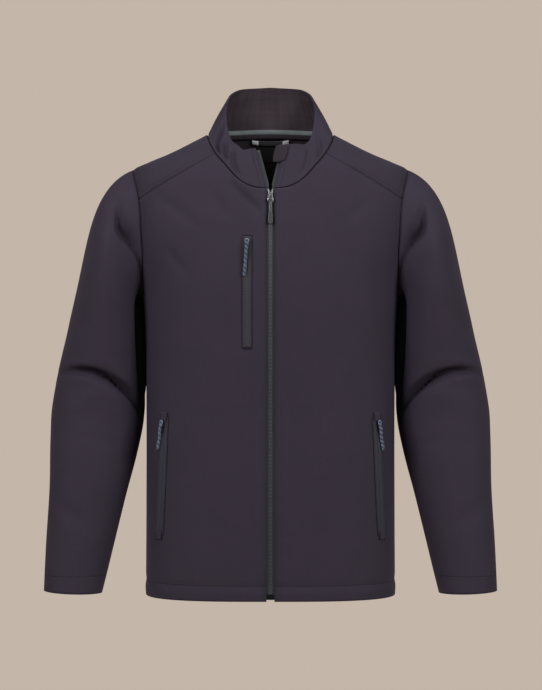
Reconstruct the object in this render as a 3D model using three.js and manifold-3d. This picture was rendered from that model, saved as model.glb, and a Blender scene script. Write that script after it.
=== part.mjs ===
// A softshell jacket with a stand collar, filled out as if worn, in millimetres.
// +Z is up and the jacket faces -Y, with the wearer's left at +X. The origin is the middle of the
// neck opening, at the height where the shoulder line meets the collar.
import * as THREE from "three";
import Module from "manifold-3d";

// Driving sizes
const HEM_Z = -703; // the hem, below the shoulder-neck point
const CLOTH = 2; // bonded softshell, outer face to fleece backing
const COLLAR_CLOTH = 2.6; // the collar is two layers stitched flat
const SEAM_GAP = 0.3;
const LAID_ON_GAP = 0.3; // between a panel's face and what is sewn on it
const ZIP_HALF = 6; // from the middle to each front's folded edge
const COLLAR_OPEN = 20; // how far each collar edge has fallen open at the top
const YOKE_Z = -94; // where the shoulder panel's seams meet the armholes
const UNDER_HEM_STITCH = 23; // hem allowance, turned up and stitched

// The torso's level sections: half width, depth ahead and behind, and how square the oval is.
// Above the shoulder tips they are contour lines of the shoulders.
const TORSO = [
  { z: -703, wide: 193, ahead: 115, behind: 112, square: 3.1 },
  { z: -560, wide: 193, ahead: 117, behind: 108, square: 2.9 },
  { z: -430, wide: 193, ahead: 119, behind: 106, square: 2.7 },
  { z: -330, wide: 194, ahead: 124, behind: 112, square: 2.5 },
  { z: -237, wide: 198, ahead: 126, behind: 121, square: 2.5 },
  { z: -190, wide: 208, ahead: 124, behind: 124, square: 2.5 },
  { z: -140, wide: 220, ahead: 118, behind: 123, square: 2.5 },
  { z: -100, wide: 224, ahead: 109, behind: 118, square: 2.45 },
  { z: -70, wide: 222, ahead: 101, behind: 110, square: 2.4 },
  { z: -45, wide: 214, ahead: 92, behind: 100, square: 2.3 },
  { z: -33, wide: 191, ahead: 85, behind: 94, square: 2.25 },
  { z: -20, wide: 161, ahead: 76, behind: 87, square: 2.2 },
  { z: -8, wide: 136, ahead: 66, behind: 78, square: 2.2 },
  { z: 4, wide: 113, ahead: 52, behind: 69, square: 2.2 },
  { z: 12, wide: 98, ahead: 42, behind: 63, square: 2.2 },
  { z: 18, wide: 86, ahead: 34, behind: 57, square: 2.2 },
];

// The armhole, seen from the side, and the neck seam, seen from above
const ARMHOLE = { z: -140, high: 97, ahead: 66, behind: 62 };
const NECK = { wide: 98, ahead: 104, behind: 58, squareAhead: 2.8, squareBehind: 2.3 };
const NECK_CORNER_X = 84; // where the forward shoulder seam meets the neck seam

// The sleeve's sections below the armpit: the middle's height, distance out and ahead, half width
// and half depth, and the tilt that keeps the section square to the arm, in degrees.
const SLEEVE = [
  { z: -250, out: 251.7, ahead: 2, wide: 53.3, deep: 84, tilt: 12 },
  { z: -321, out: 258.9, ahead: 0, wide: 62.8, deep: 72, tilt: 12 },
  { z: -385, out: 266.4, ahead: -3, wide: 70.1, deep: 62, tilt: 10 },
  { z: -425, out: 271.3, ahead: -1, wide: 71.4, deep: 59, tilt: 8 },
  { z: -470, out: 276.1, ahead: 5, wide: 68, deep: 56, tilt: 8 },
  { z: -548, out: 285.9, ahead: 15, wide: 58.5, deep: 50, tilt: 8 },
  { z: -636, out: 298, ahead: 27, wide: 50, deep: 43, tilt: 8 },
  { z: -698, out: 306, ahead: 36, wide: 44, deep: 37, tilt: 2 },
];

// The sleeve's cap leaves the armhole seam standing off it, and runs down to the first section. Each
// pair is for the top of the shoulder and for under the arm.
const CAP = { clear: [0, 2.6], out: 0.9, drop: [-0.38, -0.7], leave: [68, 9], arrive: [92, 8] };

// Soft troughs in the torso: from and to on the cloth, each as angle from the middle front and
// height, with the trough's width and depth.
const TORSO_FOLDS = [
  { fromTurn: 36, fromZ: -300, toTurn: 52, toZ: -640, width: 34, depth: 3.2 },
  { fromTurn: 74, fromZ: -290, toTurn: 68, toZ: -560, width: 26, depth: 3.4 },
  { fromTurn: 104, fromZ: -270, toTurn: 118, toZ: -600, width: 30, depth: 4.2 },
  { fromTurn: 136, fromZ: -180, toTurn: 148, toZ: -430, width: 34, depth: 4.4 },
  { fromTurn: 160, fromZ: -330, toTurn: 164, toZ: -690, width: 38, depth: 3.4 },
  { fromTurn: 14, fromZ: -120, toTurn: 34, toZ: -230, width: 20, depth: 1.8 },
];

// Creases in the sleeve: from and to as turn round the sleeve (0 outside, 90 front, 180 inside)
// and height, bowed up in between by rise. Each is wide above its line and steeper under it, and
// one with a depth below zero is a ridge.
const SLEEVE_FOLDS = [
  { fromTurn: 28, fromZ: -368, toTurn: 178, toZ: -400, rise: 34, width: 22, under: 8, depth: 12 },
  { fromTurn: 45, fromZ: -392, toTurn: 165, toZ: -425, rise: 26, width: 10, under: 22, depth: -3 },
  { fromTurn: 92, fromZ: -110, toTurn: 172, toZ: -252, rise: 4, width: 12, under: 12, depth: 8 },
  { fromTurn: 195, fromZ: -392, toTurn: 335, toZ: -380, rise: -14, width: 12, under: 18, depth: 6 },
  { fromTurn: 290, fromZ: -140, toTurn: 208, toZ: -262, rise: 6, width: 15, under: 15, depth: 8 },
  { fromTurn: 300, fromZ: -450, toTurn: 214, toZ: -520, rise: 8, width: 15, under: 15, depth: 4 },
  { fromTurn: 40, fromZ: -560, toTurn: 110, toZ: -600, rise: 4, width: 14, under: 14, depth: 2 },
];

// The collar's top seen from above, and its edge's height by turn from the front, on each side
const COLLAR_TOP = { wide: 69, ahead: 74, behind: 54, square: 2.3 };
const COLLAR_TOP_EDGE = [
  { turn: 0, left: -11, right: -17 },
  { turn: 20, left: -10, right: -19 },
  { turn: 42, left: -10, right: -11 },
  { turn: 56, left: -4, right: -4 },
  { turn: 72, left: 18, right: 16 },
  { turn: 90, left: 52, right: 51 },
  { turn: 115, left: 78, right: 78 },
  { turn: 145, left: 91, right: 91 },
  { turn: 180, left: 95, right: 95 },
];
const COLLAR_ROLL = 3.6; // how far the collar bellies out half way up
const COLLAR_TUCK = 1.1; // how far its seam is tucked in behind the panels' edges

// The guard sewn over the top of the left collar edge: its reach past the edge and over the collar
const CHIN_GUARD = { past: 12, over: 6, low: 0.6, high: 0.98, cloth: 1 };

// The zip down the front
const SLIDER = { z: -92, wide: 10, high: 21, plate: 2.2, lug: 1.5, lugHigh: 4.6 };
const PULL = { stem: 3.2, stemLong: 20, grip: 6.2, gripLong: 19, thick: 1.8, knuckle: 1.7, overlap: 1 };
const TAPE = { inner: 2.9, openInner: 0.6, outer: 14, cloth: 0.8 };
const CHAIN = { half: 2.5, cloth: 1.6, lowZ: -691 };
const END_BOX = { wide: 9.5, high: 8, thick: 3 };

// Pockets, each by its zip's two ends and width, with the patches, slider and cord at its ends
const CHEST_POCKET = { topX: 35, topZ: -154, lowX: 35, lowZ: -321, wide: 12 };
const HAND_POCKET = { topX: 162, topZ: -428, lowX: 170, lowZ: -604, wide: 11 };
const POCKET_TAPE = 0.8;
const PATCH = { wide: 10, high: 14, past: 9, cloth: 0.8 }; // past: beyond the zip's end
const POCKET_SLIDER = { wide: 6, high: 9, thick: 2, underPatch: 1.2, underEnd: 7 };
const CORD_RADIUS = 2.5;
const CORD_SIDES = 10;
const CORD_STEPS = 7;
const CHEST_CORD = { lean: 4, long: 50 };
const HAND_CORD = { lean: 7, long: 40 };

// Inside the neck: the tape over the seam, the loop that the jacket hangs by, and the label, each
// by the rows and columns of the collar or of the back's neck patch that it covers
const NECK_TAPE = { rows: [0.1, 0.6], columns: [9, 10, 11, 12, 13, 14], cloth: 0.7, stand: 0.4 };
const LOOP = { rows: [3.5, 3.85], columns: [0, 0.3, 0.6, 0.9, 1.18], slack: 2.6, cloth: 1.2 };
const LABEL = { rows: [2, 2.5, 3, 3.3], columns: [0, 0.45, 0.9], cloth: 0.6 };

const COLOURS = {
  cloth: new THREE.MeshStandardMaterial({ color: 0x2b2733, roughness: 0.85, metalness: 0 }),
  zip: new THREE.MeshStandardMaterial({ color: 0x26292c, roughness: 0.6, metalness: 0 }),
  metal: new THREE.MeshStandardMaterial({ color: 0xa9adaf, roughness: 0.3, metalness: 1 }),
  cord: new THREE.MeshStandardMaterial({ color: 0x51617a, roughness: 0.8, metalness: 0 }),
  tape: new THREE.MeshStandardMaterial({ color: 0x5d6164, roughness: 0.8, metalness: 0 }),
  label: new THREE.MeshStandardMaterial({ color: 0x1d1e22, roughness: 0.7, metalness: 0 }),
};

const radians = THREE.MathUtils.degToRad;
const mix = (a, b, t) => a + (b - a) * t;
const smooth = (t) => {
  const held = Math.min(1, Math.max(0, t));
  return held * held * (3 - 2 * held);
};
const steps = (count, at) => Array.from({ length: count + 1 }, (_, i) => at(i / count, i));

// The value of one column of a table between its rows, on a smooth curve through them.
function column(rows, along, key, at) {
  const x = rows.map((row) => row[along]);
  const rising = x[x.length - 1] > x[0];
  const held = rising
    ? Math.min(Math.max(at, x[0]), x[x.length - 1])
    : Math.max(Math.min(at, x[0]), x[x.length - 1]);
  let k = 0;
  while (k < x.length - 2 && (rising ? held > x[k + 1] : held < x[k + 1])) k += 1;
  const grade = (i) => (rows[i + 1][key] - rows[i][key]) / (x[i + 1] - x[i]);
  const lean = (i) => {
    if (i === 0) return grade(0);
    if (i === x.length - 1) return grade(i - 1);
    const before = grade(i - 1);
    const after = grade(i);
    return before * after <= 0 ? 0 : (2 * before * after) / (before + after);
  };
  const span = x[k + 1] - x[k];
  const t = (held - x[k]) / span;
  const t2 = t * t;
  const t3 = t2 * t;
  return (
    rows[k][key] * (2 * t3 - 3 * t2 + 1) +
    rows[k + 1][key] * (3 * t2 - 2 * t3) +
    lean(k) * span * (t3 - 2 * t2 + t) +
    lean(k + 1) * span * (t3 - t2)
  );
}

const sectionAt = (z) => ({
  wide: column(TORSO, "z", "wide", z),
  ahead: column(TORSO, "z", "ahead", z),
  behind: column(TORSO, "z", "behind", z),
  square: column(TORSO, "z", "square", z),
});

// How far a point lies outside the torso's form, as a share: 0 on the form.
function miss(p) {
  const s = sectionAt(p.z);
  const depth = p.y < 0 ? s.ahead : s.behind;
  return (Math.abs(p.x) / s.wide) ** s.square + (Math.abs(p.y) / depth) ** s.square - 1;
}

function gradient(p) {
  const h = 0.05;
  return new THREE.Vector3(
    ...["x", "y", "z"].map((axis) => {
      const high = p.clone();
      const low = p.clone();
      high[axis] += h;
      low[axis] -= h;
      return (miss(high) - miss(low)) / (2 * h);
    }),
  );
}

const torsoNormal = (p) => gradient(p).normalize();

function ontoTorso(p) {
  const moved = p.clone();
  for (let i = 0; i < 4; i += 1) {
    const g = gradient(moved);
    moved.addScaledVector(g, -miss(moved) / g.lengthSq());
  }
  return moved;
}

// A point of the torso by its turn from the middle front, in degrees, and its height.
function torsoAt(turn, z) {
  const s = sectionAt(z);
  const c = Math.cos(radians(turn));
  const depth = c > 0 ? s.ahead : s.behind;
  const round = 2 / s.square;
  return new THREE.Vector3(
    s.wide * Math.abs(Math.sin(radians(turn))) ** round,
    -depth * Math.sign(c) * Math.abs(c) ** round,
    z,
  );
}

function turnOf(p) {
  const s = sectionAt(p.z);
  const depth = p.y < 0 ? s.ahead : s.behind;
  const across = (Math.abs(p.x) / s.wide) ** (s.square / 2);
  const forward = (Math.abs(p.y) / depth) ** (s.square / 2);
  return THREE.MathUtils.radToDeg(Math.atan2(across, -Math.sign(p.y) * forward));
}

// The point of the shoulders over a place seen from above.
function shoulderOver(x, y) {
  let low = -100;
  let high = 18;
  for (let i = 0; i < 40; i += 1) {
    const middle = (low + high) / 2;
    if (miss(new THREE.Vector3(x, y, middle)) < 0) low = middle;
    else high = middle;
  }
  return new THREE.Vector3(x, y, (low + high) / 2);
}

// How far a fold presses the cloth in, at a place given by its turn and height.
function pressed(folds, turn, z, mmPerDegree) {
  return folds.reduce((sum, f) => {
    const alongX = (f.toTurn - f.fromTurn) * mmPerDegree;
    const alongZ = f.toZ - f.fromZ;
    const atX = (turn - f.fromTurn) * mmPerDegree;
    const length2 = alongX * alongX + alongZ * alongZ;
    const t = Math.min(1, Math.max(0, (atX * alongX + (z - f.fromZ) * alongZ) / length2));
    const bow = (f.rise || 0) * 4 * t * (1 - t);
    const over = z - bow - f.fromZ - t * alongZ;
    const width = over < 0 && f.under ? f.under : f.width;
    const away = Math.hypot(atX - t * alongX, over) / width;
    const fade = Math.sin(Math.PI * Math.min(1, Math.max(0, 0.12 + 0.76 * t)));
    return sum + f.depth * fade * Math.exp(-away * away);
  }, 0);
}

const TORSO_MM_PER_DEGREE = 3;
const SLEEVE_MM_PER_DEGREE = 1.15;

// The hem's turned edge bulges a little below its stitching, and the stitching pulls in.
function hemRelief(z) {
  const above = z - HEM_Z;
  const stitch = (above - UNDER_HEM_STITCH) / 5;
  const roll = (above - UNDER_HEM_STITCH / 2) / 9;
  return 0.8 * Math.exp(-roll * roll) - 1 * Math.exp(-stitch * stitch);
}

function torsoVertex(p) {
  const n = torsoNormal(p);
  const fadeAtFront = smooth((Math.abs(p.x) - 12) / 40);
  const folded = pressed(TORSO_FOLDS, turnOf(p), p.z, TORSO_MM_PER_DEGREE) * fadeAtFront;
  return { p: p.clone().addScaledVector(n, hemRelief(p.z) - folded), n };
}

// A grid of points between four edges, each a list of [a, b] pairs.
function between(low, high, left, right) {
  const across = low.length - 1;
  const up = left.length - 1;
  return steps(up, (v, j) =>
    steps(across, (u, i) =>
      [0, 1].map(
        (k) =>
          (1 - v) * low[i][k] +
          v * high[i][k] +
          (1 - u) * left[j][k] +
          u * right[j][k] -
          (1 - u) * (1 - v) * low[0][k] -
          u * (1 - v) * low[across][k] -
          (1 - u) * v * high[0][k] -
          u * v * high[across][k],
      ),
    ),
  );
}

// A wall of cloth over grids of { p, n }: p is the middle of the wall and n points out of it.
// Grids that share edge points are joined, and every free edge is closed by a rim.
function wall(name, material, grids, thickness) {
  const vertices = [];
  const known = new Map();
  const indexOf = ({ p, n }) => {
    const key = [p.x, p.y, p.z].map((c) => Math.round(c * 100)).join(" ");
    if (!known.has(key)) {
      known.set(key, vertices.length);
      vertices.push({ p, n });
    }
    return known.get(key);
  };
  const faces = [];
  const addFace = (a, b, c) => {
    if (a === b || b === c || c === a) return;
    const [pa, pb, pc] = [a, b, c].map((i) => vertices[i].p);
    const facing = new THREE.Vector3().crossVectors(pb.clone().sub(pa), pc.clone().sub(pa));
    const outward = vertices[a].n.clone().add(vertices[b].n).add(vertices[c].n);
    faces.push(facing.dot(outward) > 0 ? [a, b, c] : [a, c, b]);
  };
  for (const grid of grids)
    for (let j = 0; j < grid.length - 1; j += 1)
      for (let i = 0; i < grid[j].length - 1; i += 1) {
        const [a, b, c, d] = [grid[j][i], grid[j][i + 1], grid[j + 1][i + 1], grid[j + 1][i]].map(
          indexOf,
        );
        addFace(a, b, c);
        addFace(a, c, d);
      }
  const count = vertices.length;
  const directed = new Set(faces.flatMap(([a, b, c]) => [`${a} ${b}`, `${b} ${c}`, `${c} ${a}`]));
  const rims = faces
    .flatMap(([a, b, c]) => [
      [a, b],
      [b, c],
      [c, a],
    ])
    .filter(([a, b]) => !directed.has(`${b} ${a}`))
    .flatMap(([a, b]) => [
      [b, a, a + count],
      [b, a + count, b + count],
    ]);
  const index = [
    ...faces.flat(),
    ...faces.flatMap(([a, b, c]) => [a + count, c + count, b + count]),
    ...rims.flat(),
  ];
  const half = thickness / 2;
  const positions = [half, -half].flatMap((side) =>
    vertices.flatMap(({ p, n }) => p.clone().addScaledVector(n, side).toArray()),
  );
  const geometry = new THREE.BufferGeometry();
  geometry.setAttribute("position", new THREE.Float32BufferAttribute(positions, 3));
  geometry.setIndex(index);
  geometry.computeVertexNormals();
  const mesh = new THREE.Mesh(geometry, material);
  mesh.name = name;
  return mesh;
}

const mirrored = (grid) =>
  grid.map((row) =>
    row.map(({ p, n }) => ({
      p: new THREE.Vector3(-p.x, p.y, p.z),
      n: new THREE.Vector3(-n.x, n.y, n.z),
    })),
  );

// A point of a seam on the torso moved back along the cloth, to the side that toward points to.
function setBack(curve, t, distance, toward) {
  const p = curve(t);
  const tangent = curve(t + 0.002).sub(curve(t - 0.002));
  const away = new THREE.Vector3().crossVectors(tangent, torsoNormal(p)).normalize();
  return ontoTorso(p.clone().addScaledVector(away, distance * Math.sign(away.dot(toward(p)))));
}

// The armhole by turn: 0 at the shoulder, 90 at the front, 180 under the arm, 270 behind.
function armholeAt(turn) {
  const ahead = Math.sin(radians(turn));
  const y = -(ahead > 0 ? ARMHOLE.ahead : ARMHOLE.behind) * ahead;
  const z = ARMHOLE.z + ARMHOLE.high * Math.cos(radians(turn));
  const s = sectionAt(z);
  const depth = y < 0 ? s.ahead : s.behind;
  const x = s.wide * (1 - (Math.abs(y) / depth) ** s.square) ** (1 / s.square);
  return new THREE.Vector3(x, y, z);
}

// The neck seam by turn: 0 at the front, 90 at the side, 180 at the back.
function neckAt(turn) {
  const c = Math.cos(radians(turn));
  const square = c > 0 ? NECK.squareAhead : NECK.squareBehind;
  const depth = c > 0 ? NECK.ahead : NECK.behind;
  const x = NECK.wide * Math.abs(Math.sin(radians(turn))) ** (2 / square);
  return shoulderOver(x, -Math.sign(c) * depth * Math.abs(c) ** (2 / square));
}

const turnWhere = (x) =>
  THREE.MathUtils.radToDeg(Math.asin((x / NECK.wide) ** (NECK.squareAhead / 2)));
const NECK_FRONT_TURN = turnWhere(ZIP_HALF);
const NECK_CORNER_TURN = turnWhere(NECK_CORNER_X);
const YOKE_TURN = THREE.MathUtils.radToDeg(Math.acos((YOKE_Z - ARMHOLE.z) / ARMHOLE.high));

// The forward shoulder seam, from the neck seam at 0 to the armhole at 1.
function shoulderSeamAt(t) {
  const inner = neckAt(NECK_CORNER_TURN);
  const outer = armholeAt(YOKE_TURN);
  const p = inner.clone().lerp(outer, t);
  const s = sectionAt(p.z);
  p.y = -s.ahead * (1 - (p.x / s.wide) ** s.square) ** (1 / s.square);
  return p;
}

// Half of each seam's gap, and the room that two walls need where they meet at an angle
const BACK_OFF = SEAM_GAP / 2;
const NECK_BACK_OFF = 0.9;
const ARMHOLE_BACK_OFF = 0.7;

// Where three walls meet, each corner is moved a little further off the others.
const FRONT_CORNER_NUDGE = new THREE.Vector3(0, -0.1, -0.6);
const FRONT_TIP_DROP = 0.3;
const BACK_CORNER_NUDGE = [0.3, 0.9];
const BACK_TIP_NUDGE = [-0.4, 0.2];

const fromNeck = (p) => new THREE.Vector3(p.x, p.y, -20);
const fromArmhole = (p) => new THREE.Vector3(0, p.y, p.z - ARMHOLE.z);
const forward = () => new THREE.Vector3(0, -1, -1);
const backward = () => new THREE.Vector3(0, 1, 1);
const neckEdge = (from, to) => (t) =>
  setBack((s) => neckAt(mix(from, to, s)), t, NECK_BACK_OFF, fromNeck);
const armholeEdge = (from, to) => (t) =>
  setBack((s) => armholeAt(mix(from, to, s)), t, ARMHOLE_BACK_OFF, fromArmhole);
const asTurn = (p) => [turnOf(p), p.z];
const sideTurn = (z) => THREE.MathUtils.radToDeg(BACK_OFF / sectionAt(z).ahead);

// A front: from the zip to the side seam, and from the hem to the neck and shoulder seams.
const FRONT_ACROSS = 12;
const FRONT_NECK_ACROSS = 5; // of those, the ones under the neck seam
const FRONT_UP = 23;
const FRONT_SIDE_UP = 17; // of those, the ones below the armpit

function frontGrid() {
  const zipEdge = (z) => {
    const s = sectionAt(z);
    return THREE.MathUtils.radToDeg(Math.asin((ZIP_HALF / s.wide) ** (s.square / 2)));
  };
  const seamEdge = (t) => setBack(shoulderSeamAt, t, BACK_OFF, forward);
  const top = steps(FRONT_ACROSS, (_, i) => {
    const underNeck = i / FRONT_NECK_ACROSS;
    const underSeam = (i - FRONT_NECK_ACROSS) / (FRONT_ACROSS - FRONT_NECK_ACROSS);
    return i < FRONT_NECK_ACROSS
      ? neckEdge(NECK_FRONT_TURN, NECK_CORNER_TURN)(underNeck)
      : seamEdge(underSeam);
  });
  top[0] = torsoAt(zipEdge(top[0].z), top[0].z);
  const corner = top[FRONT_NECK_ACROSS];
  corner.copy(neckEdge(NECK_FRONT_TURN, NECK_CORNER_TURN)(1)).add(FRONT_CORNER_NUDGE);
  corner.copy(ontoTorso(corner));
  const armpit = armholeEdge(180, YOKE_TURN)(0);
  const side = steps(FRONT_UP, (_, j) => {
    const below = j / FRONT_SIDE_UP;
    const above = (j - FRONT_SIDE_UP) / (FRONT_UP - FRONT_SIDE_UP);
    if (j <= FRONT_SIDE_UP) {
      const z = hemRow(below, armpit.z);
      return [90 - sideTurn(z), z];
    }
    return asTurn(armholeEdge(180, YOKE_TURN)(above));
  });
  const outerTop = armholeEdge(180, YOKE_TURN)(1);
  outerTop.z -= FRONT_TIP_DROP;
  side[FRONT_UP] = asTurn(ontoTorso(outerTop));
  top[FRONT_ACROSS] = ontoTorso(outerTop);
  const zip = steps(FRONT_UP, (v, j) => {
    const z = hemRow(v, top[0].z);
    return j === FRONT_UP ? asTurn(top[0]) : [zipEdge(z), z];
  });
  const hem = steps(FRONT_ACROSS, (u) => [mix(zip[0][0], side[0][0], u), HEM_Z]);
  return between(hem, top.map(asTurn), zip, side).map((row) =>
    row.map(([turn, z]) => torsoVertex(torsoAt(turn, z))),
  );
}

// Heights from the hem up: close rows at the turned hem, then even ones.
const HEM_ROWS = [0, 5, 12, 18, 23, 30, 42];
function hemRow(v, topZ) {
  const count = HEM_ROWS.length - 1;
  const row = v * FRONT_SIDE_UP;
  if (topZ > -150) {
    const place = v * FRONT_UP;
    if (place <= count) return HEM_Z + HEM_ROWS[Math.round(place)];
    return mix(HEM_Z + HEM_ROWS[count], topZ, (place - count) / (FRONT_UP - count));
  }
  if (row <= count) return HEM_Z + HEM_ROWS[Math.round(row)];
  return mix(HEM_Z + HEM_ROWS[count], topZ, (row - count) / (FRONT_SIDE_UP - count));
}

// The back: below the shoulder blades a level patch, and above it one patch up to the neck and
// one that runs over the shoulder to its forward seam. Returned as grids for the right half.
const BACK_NECK_ACROSS = 5;
const BACK_SHOULDER_ACROSS = 6;
const BACK_UP = FRONT_UP;
const RIDGE_NECK_TURN = 116; // where the two upper patches and the neck seam meet
const RIDGE_ROWS = 4;
const OVER_ROWS = 4;

function backGrids() {
  const armpit = armholeEdge(180, 360 - YOKE_TURN)(0);
  const outer = armholeEdge(180, 360 - YOKE_TURN)(1);
  const side = steps(BACK_UP, (_, j) => {
    if (j <= FRONT_SIDE_UP) {
      const z = hemRow(j / FRONT_SIDE_UP, armpit.z);
      return [90 + sideTurn(z), z];
    }
    return asTurn(
      armholeEdge(180, 360 - YOKE_TURN)((j - FRONT_SIDE_UP) / (BACK_UP - FRONT_SIDE_UP)),
    );
  });
  const across = BACK_NECK_ACROSS + BACK_SHOULDER_ACROSS;
  const innerTurn = turnOf(new THREE.Vector3(NECK.wide, sectionAt(YOKE_Z).behind * 0.93, YOKE_Z));
  const line = steps(across, (_, i) => {
    if (i === 0) return [180, outer.z];
    const overNeck = i / BACK_NECK_ACROSS;
    const overShoulder = (i - BACK_NECK_ACROSS) / BACK_SHOULDER_ACROSS;
    if (i <= BACK_NECK_ACROSS) return [mix(180, innerTurn, overNeck), outer.z];
    return [mix(innerTurn, side[BACK_UP][0], overShoulder), outer.z];
  });
  line[across] = side[BACK_UP];
  const middle = steps(BACK_UP, (v) => [180, hemRow(v, outer.z)]);
  const hem = steps(across, (u) => [mix(180, side[0][0], u), HEM_Z]);
  const lower = between(hem, line, middle, side).map((row) =>
    row.map(([turn, z]) => torsoAt(turn, z)),
  );
  const edge = lower[BACK_UP];
  const plan = (p) => [p.x, p.y];
  const over = (grid) => grid.map((row) => row.map(([x, y]) => shoulderOver(x, y)));

  const ridgeNeck = neckEdge(NECK_CORNER_TURN, 180);
  const ridgeShare = (RIDGE_NECK_TURN - NECK_CORNER_TURN) / (180 - NECK_CORNER_TURN);
  const neckSide = ridgeNeck(ridgeShare);
  const fold = steps(RIDGE_ROWS, (v) => {
    const p = plan(edge[BACK_NECK_ACROSS]);
    return [mix(p[0], neckSide.x, v), mix(p[1], neckSide.y, v)];
  });
  const neckBack = steps(BACK_NECK_ACROSS, (u) => {
    const p = ridgeNeck(mix(1, ridgeShare, u));
    return [u === 0 ? 0 : p.x, p.y];
  });
  const upper = over(
    between(
      edge.slice(0, BACK_NECK_ACROSS + 1).map(plan),
      neckBack,
      steps(RIDGE_ROWS, (v) => [0, mix(edge[0].y, neckBack[0][1], v)]),
      fold,
    ),
  );

  const seamEdge = (t) => setBack(shoulderSeamAt, t, BACK_OFF, backward);
  const rows = RIDGE_ROWS + OVER_ROWS;
  const inner = steps(rows, (_, j) =>
    j <= RIDGE_ROWS
      ? fold[j]
      : plan(ridgeNeck(mix(ridgeShare, 0, (j - RIDGE_ROWS) / OVER_ROWS))),
  );
  const armhole = steps(rows, (_, j) => {
    const turn =
      j <= RIDGE_ROWS
        ? mix(360 - YOKE_TURN, 360, j / RIDGE_ROWS)
        : mix(360, 360 + YOKE_TURN, (j - RIDGE_ROWS) / OVER_ROWS);
    return plan(armholeEdge(turn, turn + 1)(0));
  });
  armhole[0] = plan(edge[across]);
  const front = steps(BACK_SHOULDER_ACROSS, (u) => plan(seamEdge(u)));
  inner[rows] = front[0].map((value, k) => value + BACK_CORNER_NUDGE[k]);
  front[0] = inner[rows];
  armhole[rows] = front[BACK_SHOULDER_ACROSS].map((value, k) => value + BACK_TIP_NUDGE[k]);
  front[BACK_SHOULDER_ACROSS] = armhole[rows];
  const saddle = over(between(edge.slice(BACK_NECK_ACROSS).map(plan), front, inner, armhole));

  // The three patches meet in the same points.
  upper[0] = edge.slice(0, BACK_NECK_ACROSS + 1);
  saddle[0] = edge.slice(BACK_NECK_ACROSS);
  for (let j = 0; j <= RIDGE_ROWS; j += 1) saddle[j][0] = upper[j][BACK_NECK_ACROSS];
  return [lower, upper, saddle].map((grid) => grid.map((row) => row.map(torsoVertex)));
}

// The sleeve's middle surface by turn, and by how far down: 0 at the armhole, 1 at the cuff.
const CAP_ROWS = 8;
const TUBE_ROWS = 19;
const CUFF_Z = SLEEVE[SLEEVE.length - 1].z;

// The sleeve's lengthwise lines start at the points of the panels' armhole edges.
const ARMHOLE_ROWS = FRONT_UP - FRONT_SIDE_UP;
const SLEEVE_TURNS = [
  ...steps(OVER_ROWS, (t) => mix(0, YOKE_TURN, t)).slice(0, -1),
  ...steps(ARMHOLE_ROWS, (t) => mix(YOKE_TURN, 180, t)).slice(0, -1),
  ...steps(ARMHOLE_ROWS, (t) => mix(180, 360 - YOKE_TURN, t)).slice(0, -1),
  ...steps(RIDGE_ROWS, (t) => mix(360 - YOKE_TURN, 360, t)).slice(0, -1),
];

function tubeAt(turn, z) {
  const at = (key) => column(SLEEVE, "z", key, z);
  const tilt = radians(at("tilt"));
  const across = at("wide") * Math.cos(radians(turn));
  return new THREE.Vector3(
    at("out") + across * Math.cos(tilt),
    -at("ahead") - at("deep") * Math.sin(radians(turn)),
    z + across * Math.sin(tilt),
  );
}

function capAt(turn, t) {
  const c = Math.cos(radians(turn));
  const under = smooth((0.2 - c) / 1.2);
  const start = armholeAt(turn);
  const n = torsoNormal(start);
  start.addScaledVector(n, mix(...CAP.clear, under)).add(new THREE.Vector3(CAP.out, 0, 0));
  const end = tubeAt(turn, SLEEVE[0].z);
  const leave = new THREE.Vector3(1, -0.3 * Math.sin(radians(turn)), mix(...CAP.drop, under));
  leave.normalize().multiplyScalar(mix(...CAP.leave, under));
  const arrive = tubeAt(turn, SLEEVE[0].z - 4).sub(end).normalize();
  const second = start.clone().add(leave);
  const third = end.clone().addScaledVector(arrive, -mix(...CAP.arrive, under));
  const s = 1 - t;
  return start
    .multiplyScalar(s * s * s)
    .addScaledVector(second, 3 * s * s * t)
    .addScaledVector(third, 3 * s * t * t)
    .addScaledVector(end, t * t * t);
}

function sleeveGrid() {
  const rows = CAP_ROWS + TUBE_ROWS;
  const raw = steps(rows, (_, j) =>
    [...SLEEVE_TURNS, 0].map((turn) => {
      if (j <= CAP_ROWS) return { turn, p: capAt(turn, j / CAP_ROWS) };
      const z = mix(SLEEVE[0].z, CUFF_Z, (j - CAP_ROWS) / TUBE_ROWS);
      return { turn, p: tubeAt(turn, z) };
    }),
  );
  return raw.map((row, j) =>
    row.map(({ turn, p }, i) => {
      const ring = SLEEVE_TURNS.length;
      const along = raw[Math.min(j + 1, rows)][i].p.clone().sub(raw[Math.max(j - 1, 0)][i].p);
      const round = raw[j][(i + 1) % ring].p.clone().sub(raw[j][(i - 1 + ring) % ring].p);
      const n = new THREE.Vector3().crossVectors(round, along).normalize();
      const free = smooth(j / 3);
      const inward = pressed(SLEEVE_FOLDS, turn, p.z, SLEEVE_MM_PER_DEGREE);
      return { p: p.clone().addScaledVector(n, -free * inward), n };
    }),
  );
}

// The collar's middle surface: u runs from the front round the side to the back, v up.
const COLLAR_ROUND = 14;
const COLLAR_UP = 5;

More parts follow.
